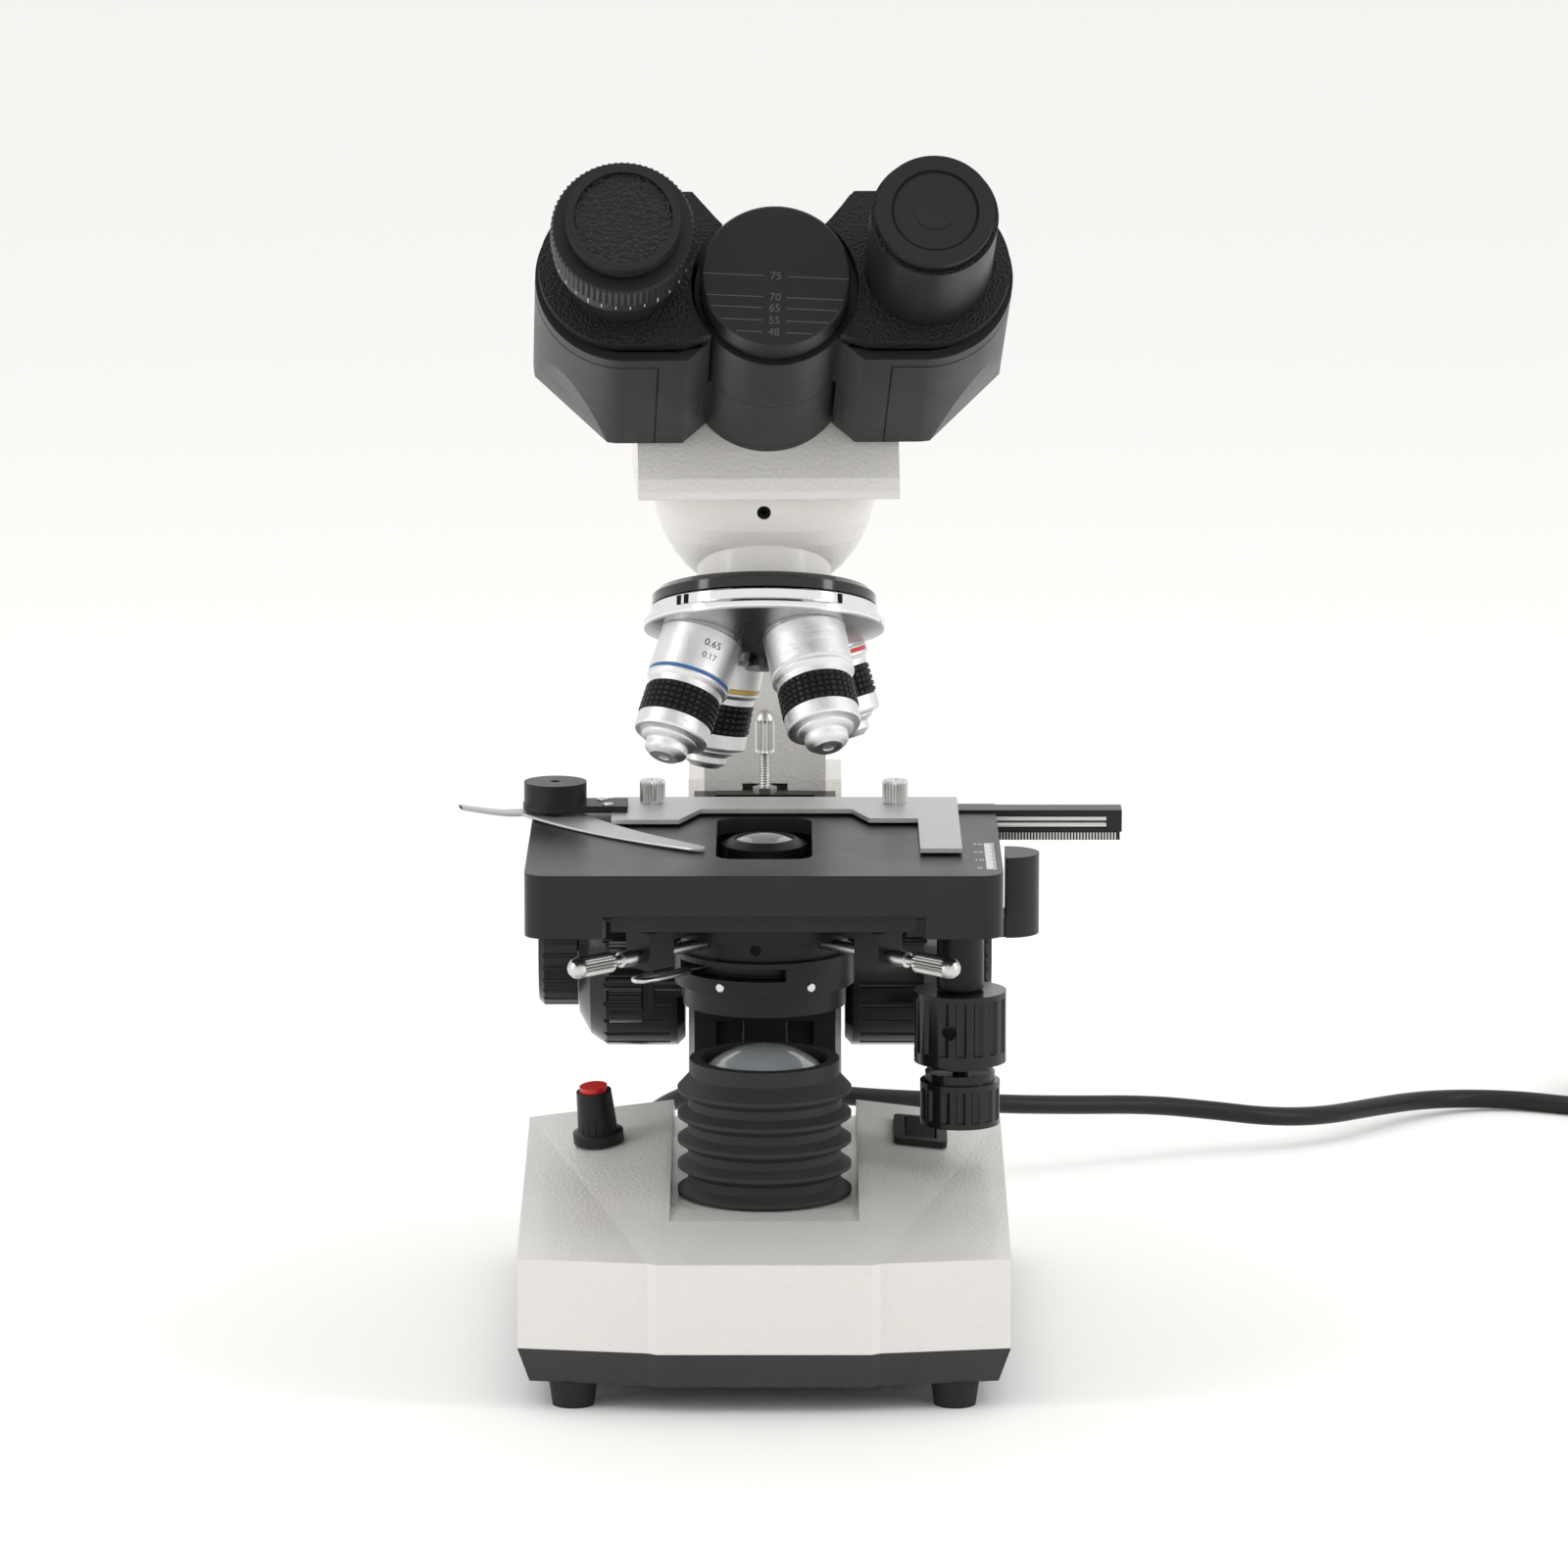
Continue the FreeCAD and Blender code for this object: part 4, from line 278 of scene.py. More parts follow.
# %% Paints, plastics and metals
white_paint = finish("white_paint", (0.70, 0.685, 0.655), 0.33, coat=0.25, grain=1300,
                     grain_depth=0.13, pebble=900, pebble_depth=0.08, mottle=0.02, edge=0.4)
tray_grey = finish("tray_grey", (0.042, 0.043, 0.046), 0.6, grain=1500, grain_depth=0.3, mottle=0.2,
                   edge=0.5)
rubber_black = finish("rubber_black", (0.018, 0.018, 0.019), 0.62, grain=900, grain_depth=0.1, edge=0.4)
satin_black = finish("satin_black", (0.014, 0.014, 0.015), 0.36, grain=2500, grain_depth=0.05, edge=0.3)
stage_black = finish("stage_black", (0.016, 0.016, 0.017), 0.3, grain=2600, grain_depth=0.035,
                     mottle=0.25, edge=0.5)
anodised_black = finish("anodised_black", (0.016, 0.016, 0.017), 0.33, metal=0.3, grain=2200,
                        grain_depth=0.04, edge=0.25)
fin_grey = finish("fin_grey", (0.030, 0.031, 0.033), 0.55, grain=2400, grain_depth=0.06, edge=0.25)
shell_plastic = finish("shell_plastic", (0.013, 0.013, 0.014), 0.36, grain=1800, grain_depth=0.08,
                       mottle=0.1, edge=0.5)
pebble_plastic = finish("pebble_plastic", (0.011, 0.011, 0.012), 0.34, pebble=1500, pebble_depth=0.2,
                        grain=1300, grain_depth=0.25, edge=0.35)
leather_black = finish("leather_black", (0.009, 0.009, 0.010), 0.24, pebble=1050, pebble_depth=0.42,
                       grain=900, grain_depth=0.2, edge=0)
knob_gloss = finish("knob_gloss", (0.010, 0.010, 0.011), 0.2, coat=0.2, grain=400, grain_depth=0.02,
                    edge=0.3)
cap_gloss = finish("cap_gloss", (0.006, 0.006, 0.007), 0.1, coat=0.6, grain=300, grain_depth=0.01,
                   edge=0.5)
red_cap = finish("red_cap", (0.60, 0.012, 0.012), 0.3, coat=0.3, grain=1200, grain_depth=0.03, edge=0.3)
steel = finish("steel", (0.62, 0.62, 0.61), 0.28, metal=1.0, grain=3000, grain_depth=0.02, mottle=0.08,
               edge=0.15)
plate_steel = finish("plate_steel", (0.56, 0.56, 0.56), 0.42, metal=0.9, grain=1400, grain_depth=0.03,
                     mottle=0.06, edge=0.2, stretch=(0.15, 3, 1))
satin_silver = finish("satin_silver", (0.78, 0.78, 0.78), 0.3, metal=1.0, grain=40, grain_depth=0.05,
                      mottle=0.04, edge=0.15, stretch=(0.4, 60, 1), coords="UV")
turret_satin = finish("turret_satin", (0.42, 0.42, 0.42), 0.27, metal=1.0, grain=1800,
                      grain_depth=0.08, mottle=0.1, edge=0.4)
chrome = finish("chrome", (0.82, 0.82, 0.83), 0.07, metal=1.0, grain=200, grain_depth=0.01,
                mottle=0.04, edge=0.3)
lead_black = finish("lead_black", (0.012, 0.012, 0.013), 0.34, grain=700, grain_depth=0.05, edge=0)
mark_white = finish("mark_white", (0.72, 0.72, 0.72), 0.5, grain=900, grain_depth=0.01, mottle=0.05,
                    edge=0)
engraved_grey = finish("engraved_grey", (0.085, 0.085, 0.088), 0.45, grain=900, grain_depth=0.02,
                       edge=0)
circuit_green = finish("circuit_green", (0.02, 0.12, 0.05), 0.3, coat=0.5, grain=600, grain_depth=0.05,
                       edge=0.1)
# A near-black for print, seams and the head clamp screw; it is also laid as painted shade in holes, a
# groove and notches.
deep_black_and_shade = finish("deep_black_and_shade", (0.003, 0.003, 0.003), 0.8, grain=900, grain_depth=0.02, edge=0)


def glass_finish(name, colour, rough, clear, coat=1.0):
    """Glass: a tinted body that lets a share of the light through under a clear polish."""
    material = finish(name, colour, rough, coat=coat, grain=150, grain_depth=0.005, mottle=0.04, edge=0.1)
    shader = material.node_tree.nodes["Principled BSDF"]
    shader.inputs["Transmission Weight"].default_value = clear
    shader.inputs["Coat Roughness"].default_value = 0.02
    return material


frosted_glass = glass_finish("frosted_glass", (0.52, 0.55, 0.57), 0.22, 0.25)
lens_glass = glass_finish("lens_glass", (0.55, 0.60, 0.60), 0.03, 0.7)
prism_glass = glass_finish("prism_glass", (0.90, 0.95, 0.95), 0.01, 0.95)

wear_finish(white_paint, "base_shell", "arm_casting", "head_base")
wear_finish(tray_grey, "bottom_plate")
wear_finish(rubber_black, "rubber_feet", "cable_gland")
wear_finish(steel, "foot_screws", "centring_screws", "iris_lever")
wear_finish(deep_black_and_shade, "head_clamp_screw")
wear_finish(fin_grey, "illuminator_housing")
wear_finish(frosted_glass, "collector_lens")
wear_finish(circuit_green, "power_board")
wear_finish(prism_glass, "beam_prism", "left_prism", "right_prism", "lamp")
wear_finish(lens_glass, "condenser_lens", "objective_lenses")
wear_finish(satin_black, "dimmer_knob", "switch_bezel", "switch_rocker", "clip_pivot", "focus_guide")
wear_finish(red_cap, "dimmer_cap")
wear_finish(knob_gloss, "coarse_knobs", "fine_knobs", "condenser_knob", "y_drive_knob", "x_drive_knob",
            "left_eyepiece", "right_eyepiece")
wear_finish(stage_black, "stage_top_plate", "stage_lower_plate", "x_travel_bar")
wear_finish(anodised_black, "carrier_block", "condenser_bracket", "condenser_barrel", "filter_ring",
            "stage_control_column", "hinge_body")
wear_finish(plate_steel, "slide_holder_plate")
wear_finish(cap_gloss, "nosepiece_cap")
wear_finish(turret_satin, "nosepiece_turret")
wear_finish(shell_plastic, "left_housing", "right_housing", "scale_disc", "left_eyepiece_cap",
            "right_eyepiece_cap")
wear_finish(pebble_plastic, "left_face_plate", "right_face_plate")
wear_finish(lead_black, "power_plug")
mains_lead.data.materials.append(lead_black)
print("finishes:", len(bpy.data.materials))

# %% [markdown]
# ## Surfaces from formulas
# Most small pieces of a microscope are turned on a lathe, so most shapes here are a profile carried
# round an axis. The radius can be disturbed by a relief, which is how knurls, ribs and threads are
# made. All points are worked out at once as arrays.

# %% Surface helpers
def skin(name, points, material, body, replaces=(), wrap_u=True, wrap_v=False, sharp=32):
    """A grid of points becomes quads; wrap_v joins the last row to the first, wrap_u the columns."""
    rows, columns = points.shape[:2]
    row_count = rows if wrap_v else rows - 1
    column_count = columns if wrap_u else columns - 1
    i, j = np.meshgrid(np.arange(row_count), np.arange(column_count), indexing="ij")
    next_i, next_j = (i + 1) % rows, (j + 1) % columns
    quads = np.stack([i * columns + j, i * columns + next_j,
                      next_i * columns + next_j, next_i * columns + j], -1)
    mesh = bpy.data.meshes.new(name)
    mesh.from_pydata(points.reshape(-1, 3).tolist(), [], quads.reshape(-1, 4).tolist())
    u = np.stack([j, j + 1, j + 1, j], -1) / columns
    v = np.stack([i, i, i + 1, i + 1], -1) / rows
    layer = mesh.uv_layers.new(name="surface")
    layer.data.foreach_set("uv", np.stack([u, v], -1).reshape(-1))
    mesh.shade_smooth()
    mesh.set_sharp_from_angle(angle=math.radians(sharp))
    return adopt(bpy.data.objects.new(name, mesh), material, body, replaces)


def adopt(piece, material, body, replaces=()):
    """Links a piece, gives it its finish and puts it on its body."""
    bpy.context.scene.collection.objects.link(piece)
    if material:
        piece.data.materials.append(material)
    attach(piece, body)
    if replaces:
        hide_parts(*replaces)
    return piece


def dense(profile, step):
    """Adds points along each run of a profile so that none is longer than the step."""
    profile = np.array(profile, float)
    rows = [profile[:1]]
    for start, end in zip(profile[:-1], profile[1:]):
        count = max(1, int(math.ceil(np.linalg.norm(end - start) / step)))
        rows.append(start + (end - start) * np.linspace(0, 1, count + 1)[1:, None])
    return np.concatenate(rows)


def turned(profile, count, relief=None):
    """Point (r, z) of the profile at angle a goes to (r cos a, r sin a, z); relief(r, z, a) adds to r."""
    radius, height = np.array(profile, float).T[:, :, None]
    angle = np.linspace(0, 2 * math.pi, count, endpoint=False)[None, :]
    radius = radius + (relief(radius, height, angle) if relief else 0)
    return np.stack([radius * np.cos(angle), radius * np.sin(angle), height + 0 * angle], -1)


def placed(points, origin, axis_x, axis_y, axis_z):
    """Point (x, y, z) in millimetres goes to origin + x axis_x + y axis_y + z axis_z, in metres."""
    basis = np.array([axis_x, axis_y, axis_z], float)
    return (np.asarray(points) @ basis + np.array(origin, float)) * MM


def triangle_wave(value):
    """0 at whole numbers, 1 half-way between them."""
    return 1 - np.abs(2 * (value - np.floor(value)) - 1)


yaw = math.radians(2.3)
lean_sine, lean_cosine = 0.866025, 0.5
tube_axis = (lean_sine * math.sin(yaw), -lean_sine * math.cos(yaw), lean_cosine)
face_up = (-lean_cosine * math.sin(yaw), lean_cosine * math.cos(yaw), lean_sine)
face_right = (math.cos(yaw), math.sin(yaw), 0)
hinge_height = 247.6
eyepiece_x, eyepiece_y = 37.8, 4.7


def on_head(points):
    """x to the right, y up the sloping face and z out along the tubes."""
    return placed(points, (0, 0, hinge_height), face_right, face_up, tube_axis)


def upright(points, x=0.0, y=0.0, z=0.0):
    """Moves a shape without turning it."""
    return placed(points, (x, y, z), (1, 0, 0), (0, 1, 0), (0, 0, 1))


def marks(name, boxes, place, material, body):
    """Many thin blocks as one mesh: each is (x, y, z, width, depth, height) about its centre."""
    boxes = np.array(boxes, float)
    corner = np.array([[x, y, z] for x in (-0.5, 0.5) for y in (-0.5, 0.5) for z in (-0.5, 0.5)])
    points = boxes[:, None, :3] + corner[None] * boxes[:, None, 3:]
    faces = np.array([[0, 1, 3, 2], [4, 6, 7, 5], [0, 4, 5, 1],
                      [2, 3, 7, 6], [0, 2, 6, 4], [1, 5, 7, 3]])
    quads = (np.arange(len(boxes))[:, None, None] * 8 + faces[None]).reshape(-1, 4)
    mesh = bpy.data.meshes.new(name)
    mesh.from_pydata(place(points.reshape(-1, 3)).tolist(), [], quads.tolist())
    return adopt(bpy.data.objects.new(name, mesh), material, body)


def lettering(name, text, size, place, material, body, depth=0.06):
    """Raised numbers: a text becomes a mesh in millimetres, and its points are then placed."""
    curve = bpy.data.curves.new(name, "FONT")
    curve.body = text
    curve.size = size
    curve.align_x, curve.align_y = "CENTER", "CENTER"
    curve.extrude = depth
    curve.resolution_u = 3
    mesh = mesh_of(curve)
    points = np.empty(len(mesh.vertices) * 3)
    mesh.vertices.foreach_get("co", points)
    mesh.vertices.foreach_set("co", np.asarray(place(points.reshape(-1, 3))).reshape(-1))
    mesh.materials.clear()
    mesh.name = name
    mesh.update()
    return adopt(bpy.data.objects.new(name, mesh), material, body)


print("helpers ready")

# %% [markdown]
# ## Objectives
# Four objectives screw into the turret. Each is a turned silver barrel with a coloured ring that
# tells its power, a black grip with a cut diamond knurl, and a stepped nose. The barrel is a closed
# lathe profile. The knurl is a relief of small pyramids: the smaller of two triangle waves, one round
# the grip and one along it.

# %% Objectives
turret_tilt = math.radians(20)
apex = (0, 0, 237.8)
down_axis = np.array([0, -math.sin(turret_tilt), -math.cos(turret_tilt)])
forward = np.array([0, -math.cos(turret_tilt), math.sin(turret_tilt)])
objective_tips = (87.0, 88.0, 83.0, 77.0)
ring_names = ("white", "blue", "yellow", "red")
ring_colours = ((0.75, 0.75, 0.75), (0.02, 0.11, 0.32), (0.75, 0.52, 0.05), (0.62, 0.02, 0.03))
nose_length, step_length, collar_length, grip_length, band_gap = 4.4, 1.2, 4.2, 7.6, 3.9
rest_angle = 33.0
socket_start = 54.6
knurl_columns = 34
knurl_pitch = 1.52
knurl_slope, knurl_depth = 1.5, 0.62
barrel_radius, sleeve_from = 10.5, 9.0
text_turn, text_depth = 0.25, 0.03


def objective_frame(number):
    """Axis, a sideways axis and the direction that faces the user, for one objective."""
    angle = math.radians(rest_angle - 90 * number)
    out = np.array([1, 0, 0]) * math.sin(angle) + forward * math.cos(angle)
    axis = down_axis * math.cos(turret_tilt) + out * math.sin(turret_tilt)
    front = np.array([0, -1, 0]) - axis * np.dot((0, -1, 0), axis)
    front = front / np.linalg.norm(front)
    return np.cross(front, axis), front, axis


for number, tip in enumerate(objective_tips):
    side, front, axis = objective_frame(number)

    def along_objective(points, side=side, front=front, axis=axis):
        return placed(points, apex, side, front, axis)

    nose = tip - nose_length
    step = nose - step_length
    end_ring = step - collar_length
    grip = end_ring - grip_length
    band = grip - band_gap
    barrel = [(5, socket_start - 4), (7.9, socket_start - 4), (7.9, socket_start),
              (10.3, socket_start), (10.5, socket_start + 0.2), (10.5, band - 0.6),
              (10.3, band - 0.45), (10.3, band + 0.45), (10.5, band + 0.6), (10.5, grip - 2.7),
              (10.2, grip - 2.3), (9.55, grip - 1.7), (9.5, grip - 0.1), (9.0, grip),
              (7.4, grip + 0.4), (7.4, end_ring - 0.4), (9.0, end_ring), (9.5, end_ring + 0.2),
              (9.5, step - 0.5), (9.2, step), (7.6, step + 0.5), (7.25, step + 0.7),
              (7.25, nose - 0.2), (6.9, nose + 0.2), (5.6, nose + 1.0), (5.45, nose + 1.3),
              (5.45, tip - 1.6), (5.1, tip - 1.1), (3.6, tip), (1.5, tip), (1.4, tip - 0.2),
              (1.4, nose), (5, nose - 2), (5, socket_start - 4)]
    skin(f"objective_barrel_{number + 1}", along_objective(turned(dense(barrel, 1.2), 96)[:-1]),
         satin_silver, "turret", ["objective_barrels"], wrap_v=True, sharp=25)
    colour = finish(f"{ring_names[number]}_band", ring_colours[number], 0.35, grain=900,
                    grain_depth=0.01, edge=0)
    stripe = [(10.1, band - 0.4), (10.42, band - 0.4), (10.42, band + 0.4), (10.1, band + 0.4)]
    skin(f"objective_band_{number + 1}", along_objective(turned(stripe, 96)), colour,
         "turret", wrap_v=True)

    def pyramids(radius, height, angle, grip=grip):
        """The smaller of a wave along the grip and a wave round it, cut off at the knurl's depth."""
        rows = triangle_wave((height - grip) / knurl_pitch)
        columns = triangle_wave(angle * knurl_columns / (2 * math.pi) + 0 * height)
        outer = (radius > sleeve_from).astype(float)
        return outer * np.minimum(np.minimum(rows, columns) * knurl_slope, knurl_depth)

    sleeve = np.concatenate([dense([(9.15, grip + 0.02), (9.15, end_ring - 0.02)], 0.19),
                             [(7.55, end_ring - 0.02), (7.55, grip + 0.02)]])
    skin(f"objective_grip_{number + 1}", along_objective(turned(sleeve, knurl_columns * 8, pyramids)),
         anodised_black, "turret", ["objective_grips"], wrap_v=True, sharp=20)

    def on_barrel(points, height, along=along_objective):
        """Wraps flat letters round the barrel, a little to the side of its front."""
        bend = -points[:, 0] / barrel_radius - text_turn
        reach = barrel_radius + points[:, 2]
        flat = np.stack([-reach * np.sin(bend), reach * np.cos(bend), height - points[:, 1]], -1)
        return along(flat)

    if number == 1:
        for label, text, size, drop in (("aperture_number", "0.65", 2.7, 4.2),
                                        ("cover_number", "0.17", 2.3, 7.6)):
            lettering(label, text, size, lambda p, h=socket_start + drop: on_barrel(p, h),
                      deep_black_and_shade, "turret", text_depth)
print("objectives:", len(objective_tips))

# %% [markdown]
# ## Turret ring
# A polished ring runs round the top of the turret, with a fine gap under the black cap and a few
# notches that a hidden spring catches. The notches are not cut: thin dark strips on the ring stand in
# for them as painted shade. The ring is a closed lathe profile with rounded lips.

# %% Turret ring
turret_side = np.cross(forward, down_axis)


def on_turret(points):
    """z runs down the turret's axis from the apex."""
    return placed(points, apex, turret_side, forward, down_axis)


ring_lip = [(27.0, 41.4), (28.6, 41.4), (29.0, 41.8), (29.1, 44.2), (30.3, 44.6), (30.75, 45.2),
            (30.75, 46.2), (30.3, 46.8), (27.0, 46.8)]
skin("turret_ring", on_turret(turned(dense(ring_lip, 0.8), 180)), chrome, "turret",
     wrap_v=True, sharp=28)
notch_turns = (-0.83, -0.74, 0.72, 2.3)


def round_turret(points, reach=29.12):
    """x is an angle round the ring, y the way down it, z outwards."""
    return on_turret(np.stack([(reach + points[:, 2]) * np.sin(points[:, 0]),
                               (reach + points[:, 2]) * np.cos(points[:, 0]), points[:, 1]], -1))


# Painted shade: thin dark strips on the ring where the notches would be.
marks("ring_notch_shade", [(angle, 43.0, 0, 0.05, 2.3, 0.1) for angle in notch_turns], round_turret,
      deep_black_and_shade, "turret")
print("turret ring done")

# %% [markdown]
# ## Scale disc
# The front of the hinge carries a scale that reads the distance between the eyepieces. The lines could
# be cut into the disc, but thin grey inlays catch the light in the same way. They stop short of the
# numbers in the middle, and the disc is rolled a few degrees.

# %% Scale disc
disc_front = 88.8
disc_roll = math.radians(-3)
line_radius, line_gap = 17.9, 2.9


def on_disc(points):
    """The head's frame, rolled about the hinge."""
    points = np.asarray(points, float)
    turn = np.array([[math.cos(disc_roll), math.sin(disc_roll)],
                     [-math.sin(disc_roll), math.cos(disc_roll)]])
    flat = points[:, :2] @ turn
    return on_head(np.column_stack([flat, points[:, 2]]))


scale_rows = ((75, -0.4), (70, -6.0), (65, -8.9), (55, -12.2), (48, -15.3))
lines = []
for value, height in scale_rows:
    reach = math.sqrt(line_radius ** 2 - height ** 2)
    for side in (-1, 1):
        middle = side * (reach + line_gap) / 2
        lines.append((middle, height, disc_front, reach - line_gap, 0.22, 0.06))
    lettering(f"scale_{value}", str(value), 2.9, lambda p, h=height: on_disc(p + (0, h, disc_front)),
              engraved_grey, "head", text_depth)
marks("scale_lines", lines, on_disc, engraved_grey, "head")
print("scale rows:", len(scale_rows))

# %% [markdown]
# ## Knurled screws
# Thumbscrews, the stage stop screw and the centring screws have straight knurls. The same wave makes
# all of them: a triangle wave round the head. The stop screw's thread is a relief that climbs one
# pitch for each turn, so that its ridge is a true helix.

# %% Knurled screws
def straight_knurl(count, depth, low, high, least):
    """Cuts a triangle wave between two heights into whatever lies outside a radius."""
    def relief(radius, height, angle):
        zone = ((height > low) & (height < high) & (radius > least)).astype(float)
        return -depth * zone * triangle_wave(angle * count / (2 * math.pi))
    return relief


holder_top, holder_screw_y = 141.3, 25.0
thumbscrew = [(0, -4.7), (1.5, -4.7), (1.5, 0), (3.0, 0), (3.3, 0.3), (3.3, 5.5), (3.0, 6.0), (1.0, 6.0),
              (0.8, 5.6), (0, 5.6)]
for number, x in enumerate((-29.1, 33.9)):
    shape = turned(dense(thumbscrew, 0.6), 96, straight_knurl(24, 0.35, 0.25, 5.7, 2.9))
    skin(f"holder_thumbscrew_{number + 1}", upright(shape, x, holder_screw_y, holder_top), steel,
         "slide_holder", ["holder_thumbscrews"], sharp=25)

stop_profile = dense([(0, -10), (1.45, -10), (1.45, 0)], 0.5)
stop_nut = [(3.1, 0), (3.1, 1.6), (1.5, 1.6)]
stop_thread = dense([(1.5, 1.65), (1.5, 10.6)], 0.12)
stop_head = dense([(1.5, 10.7), (2.6, 10.9), (2.6, 19.6)], 0.5)
dome_angle = np.linspace(0, math.pi / 2, 10)[:, None]
stop_dome = np.concatenate([2.6 * np.cos(dome_angle), 19.6 + 2.6 * np.sin(dome_angle)], 1)
stop_pitch, stop_knurls = 0.7, 18
nut_radius, nut_flat = 3.1, 2.75


def stop_relief(radius, height, angle):
    """Thread between the nut and the head, six flats on the nut and a knurl on the head."""
    thread = ((height > 1.62) & (height < 10.65)).astype(float)
    ridge = triangle_wave(height / stop_pitch - angle / (2 * math.pi))
    flats = ((height >= 0) & (height <= 1.61) & (radius > 3)).astype(float)
    sector = np.mod(angle, math.pi / 3) - math.pi / 6
    hexagon = nut_flat / np.cos(sector) - nut_radius
    head_zone = ((height > 11) & (height < 19.5)).astype(float)
    knurl = head_zone * triangle_wave(angle * stop_knurls / (2 * math.pi))
    return thread * (0.12 - 0.34 * ridge) + flats * hexagon - 0.3 * knurl


stop_shape = np.concatenate([stop_profile, stop_nut, stop_thread, stop_head, stop_dome])
skin("stage_stop", upright(turned(stop_shape, 108, stop_relief), 0, 63, 136.9), steel,
     "stage_carrier", ["stage_stop_screw"], sharp=30)
print("screws: two thumbscrews and the stage stop")

# %% [markdown]
# ## Small turned parts
# Screws, rods and pins share one maker: a rounded stud along any direction. The same stud, thin and
# near-black, stands as painted shade in two holes of the carrier and one of the condenser barrel. The
# centring screws carry a knurled head with a domed tip, and the iris handle is a bent wire swept along
# a short path.

# %% Small turned parts
def stud(name, start, axis, radius, length, material, body):
    """A closed pin with softly rounded ends, from a point along a direction, all in millimetres."""
    axis = np.array(axis, float) / np.linalg.norm(axis)
    side = np.cross(axis, (0, 0, 1) if abs(axis[2]) < 0.9 else (0, 1, 0))
    side = side / np.linalg.norm(side)
    soft = min(0.2 * radius, 0.4 * length)
    profile = [(0.02, 0), (radius - soft, 0), (radius, soft), (radius, length - soft),
               (radius - soft, length), (0.02, length)]
    shape = placed(turned(profile, 32), start, side, np.cross(axis, side), axis)
    return skin(name, shape, material, body, wrap_v=True, sharp=40)


def swept(name, path, radius, material, body, replaces=()):
    """A round wire: a circle stands across the path at each point, and shrinks to nothing at the ends."""
    path = np.array(path, float)
    tangent = np.gradient(path, axis=0)
    tangent = tangent / np.linalg.norm(tangent, axis=1)[:, None]
    side = np.cross(tangent, (0, 0, 1))
    side = side / np.linalg.norm(side, axis=1)[:, None]
    above = np.cross(side, tangent)
    angle = np.linspace(0, 2 * math.pi, 16, endpoint=False)[None, :, None]
    reach = np.full((len(path), 1, 1), radius)
    reach[[0, -1]] = 0.01
    points = path[:, None] + reach * (np.cos(angle) * side[:, None] + np.sin(angle) * above[:, None])
    return skin(name, upright(points), material, body, replaces, sharp=60)


def ray(degrees):
    """The level direction at an angle, from the optical axis outwards."""
    return np.array([math.cos(math.radians(degrees)), math.sin(math.radians(degrees)), 0])


centring_height = 112.2
centring_screw = [(0.02, 21.7), (1.55, 21.7), (1.55, 46.5), (2.0, 46.9), (2.0, 51.5), (1.3, 51.9),
                  (1.3, 54.4), (2.3, 54.8), (2.75, 55.4), (2.75, 66.2), (2.5, 67.4), (1.8, 68.4),
                  (0.9, 68.9), (0.02, 69.0)]
for number, degrees in enumerate((225, 315)):
    out = ray(degrees)
    shape = turned(dense(centring_screw, 0.7), 96, straight_knurl(22, 0.3, 55.5, 66.1, 2.5))
    shape = placed(shape, (0, 0, centring_height), np.cross((0, 0, 1), out), (0, 0, 1), out)
    skin(f"centring_screw_{number + 1}", shape[:, ::-1], steel, "condenser",
         ["centring_screws"], sharp=25)

iris_height, iris_wire_radius = 105.2, 0.75
iris_turns = np.radians(np.array([216, 217, 218, 219, 219.5, 221.5, 223.5, 224, 223, 221]))
iris_reach = np.array([17.6, 24.0, 33.0, 41.5, 43.0, 43.3, 42.0, 38.0, 30.0, 24.5])
stations = np.arange(len(iris_turns))
share = np.linspace(0, len(iris_turns) - 1, 60)
turn = np.interp(share, stations, iris_turns)
reach = np.interp(share, stations, iris_reach)
iris_path = np.stack([reach * np.cos(turn), reach * np.sin(turn), iris_height + 0 * turn], -1)
swept("iris_wire", iris_path, iris_wire_radius, steel, "iris", ["iris_lever"])
iris_band = [(17.4, 104.3), (18.5, 104.3), (18.5, 106.1), (17.4, 106.1)]
skin("iris_band", upright(turned(iris_band, 120)), anodised_black, "iris", wrap_v=True)

for number, (x, y) in enumerate(((-42.0, 20.6), (-40.4, 13.4))):
    stud(f"clip_screw_{number + 1}", (x, y, 142.7), (0, 0, 1), 1.5, 0.6, steel, "slide_holder")
for number, z in enumerate((136.0, 137.9)):
    stud(f"bar_rod_{number + 1}", (-36.0, 21.75, z), (1, 0, 0), 0.86, 125.6, steel,
         "slide_holder")
skirt_reach, barrel_reach = 23.1, 21.46
# The first two entries are steel screws. The third is no screw: a thin near-black disc on the barrel,
# painted shade for a hole.
condenser_studs = ((241, 101.6, skirt_reach, 1.2, 0.5, steel), (301, 101.6, skirt_reach, 1.2, 0.5, steel),
                   (264, 111.5, barrel_reach, 1.45, 0.06, deep_black_and_shade))
for number, (degrees, z, reach, radius, length, coat) in enumerate(condenser_studs):
    out = ray(degrees)
    stud(f"condenser_screw_{number + 1}", (reach * out[0], reach * out[1], z), out, radius, length,
         coat, "condenser")
# Painted shade: two thin dark discs on the carrier where its holes are.
for number, x in enumerate((-13.7, 12.4)):
    stud(f"carrier_hole_{number + 1}", (x, 52.02, 80.6), (0, -1, 0), 1.3, 0.08, deep_black_and_shade,
         "stage_carrier")
print("small parts done")

# %% [markdown]
# ## Diopter ring
# One eyepiece can be focused on its own by a ring. Its rim has a fine bright knurl, and the skirt below
# carries white ticks to set it by.

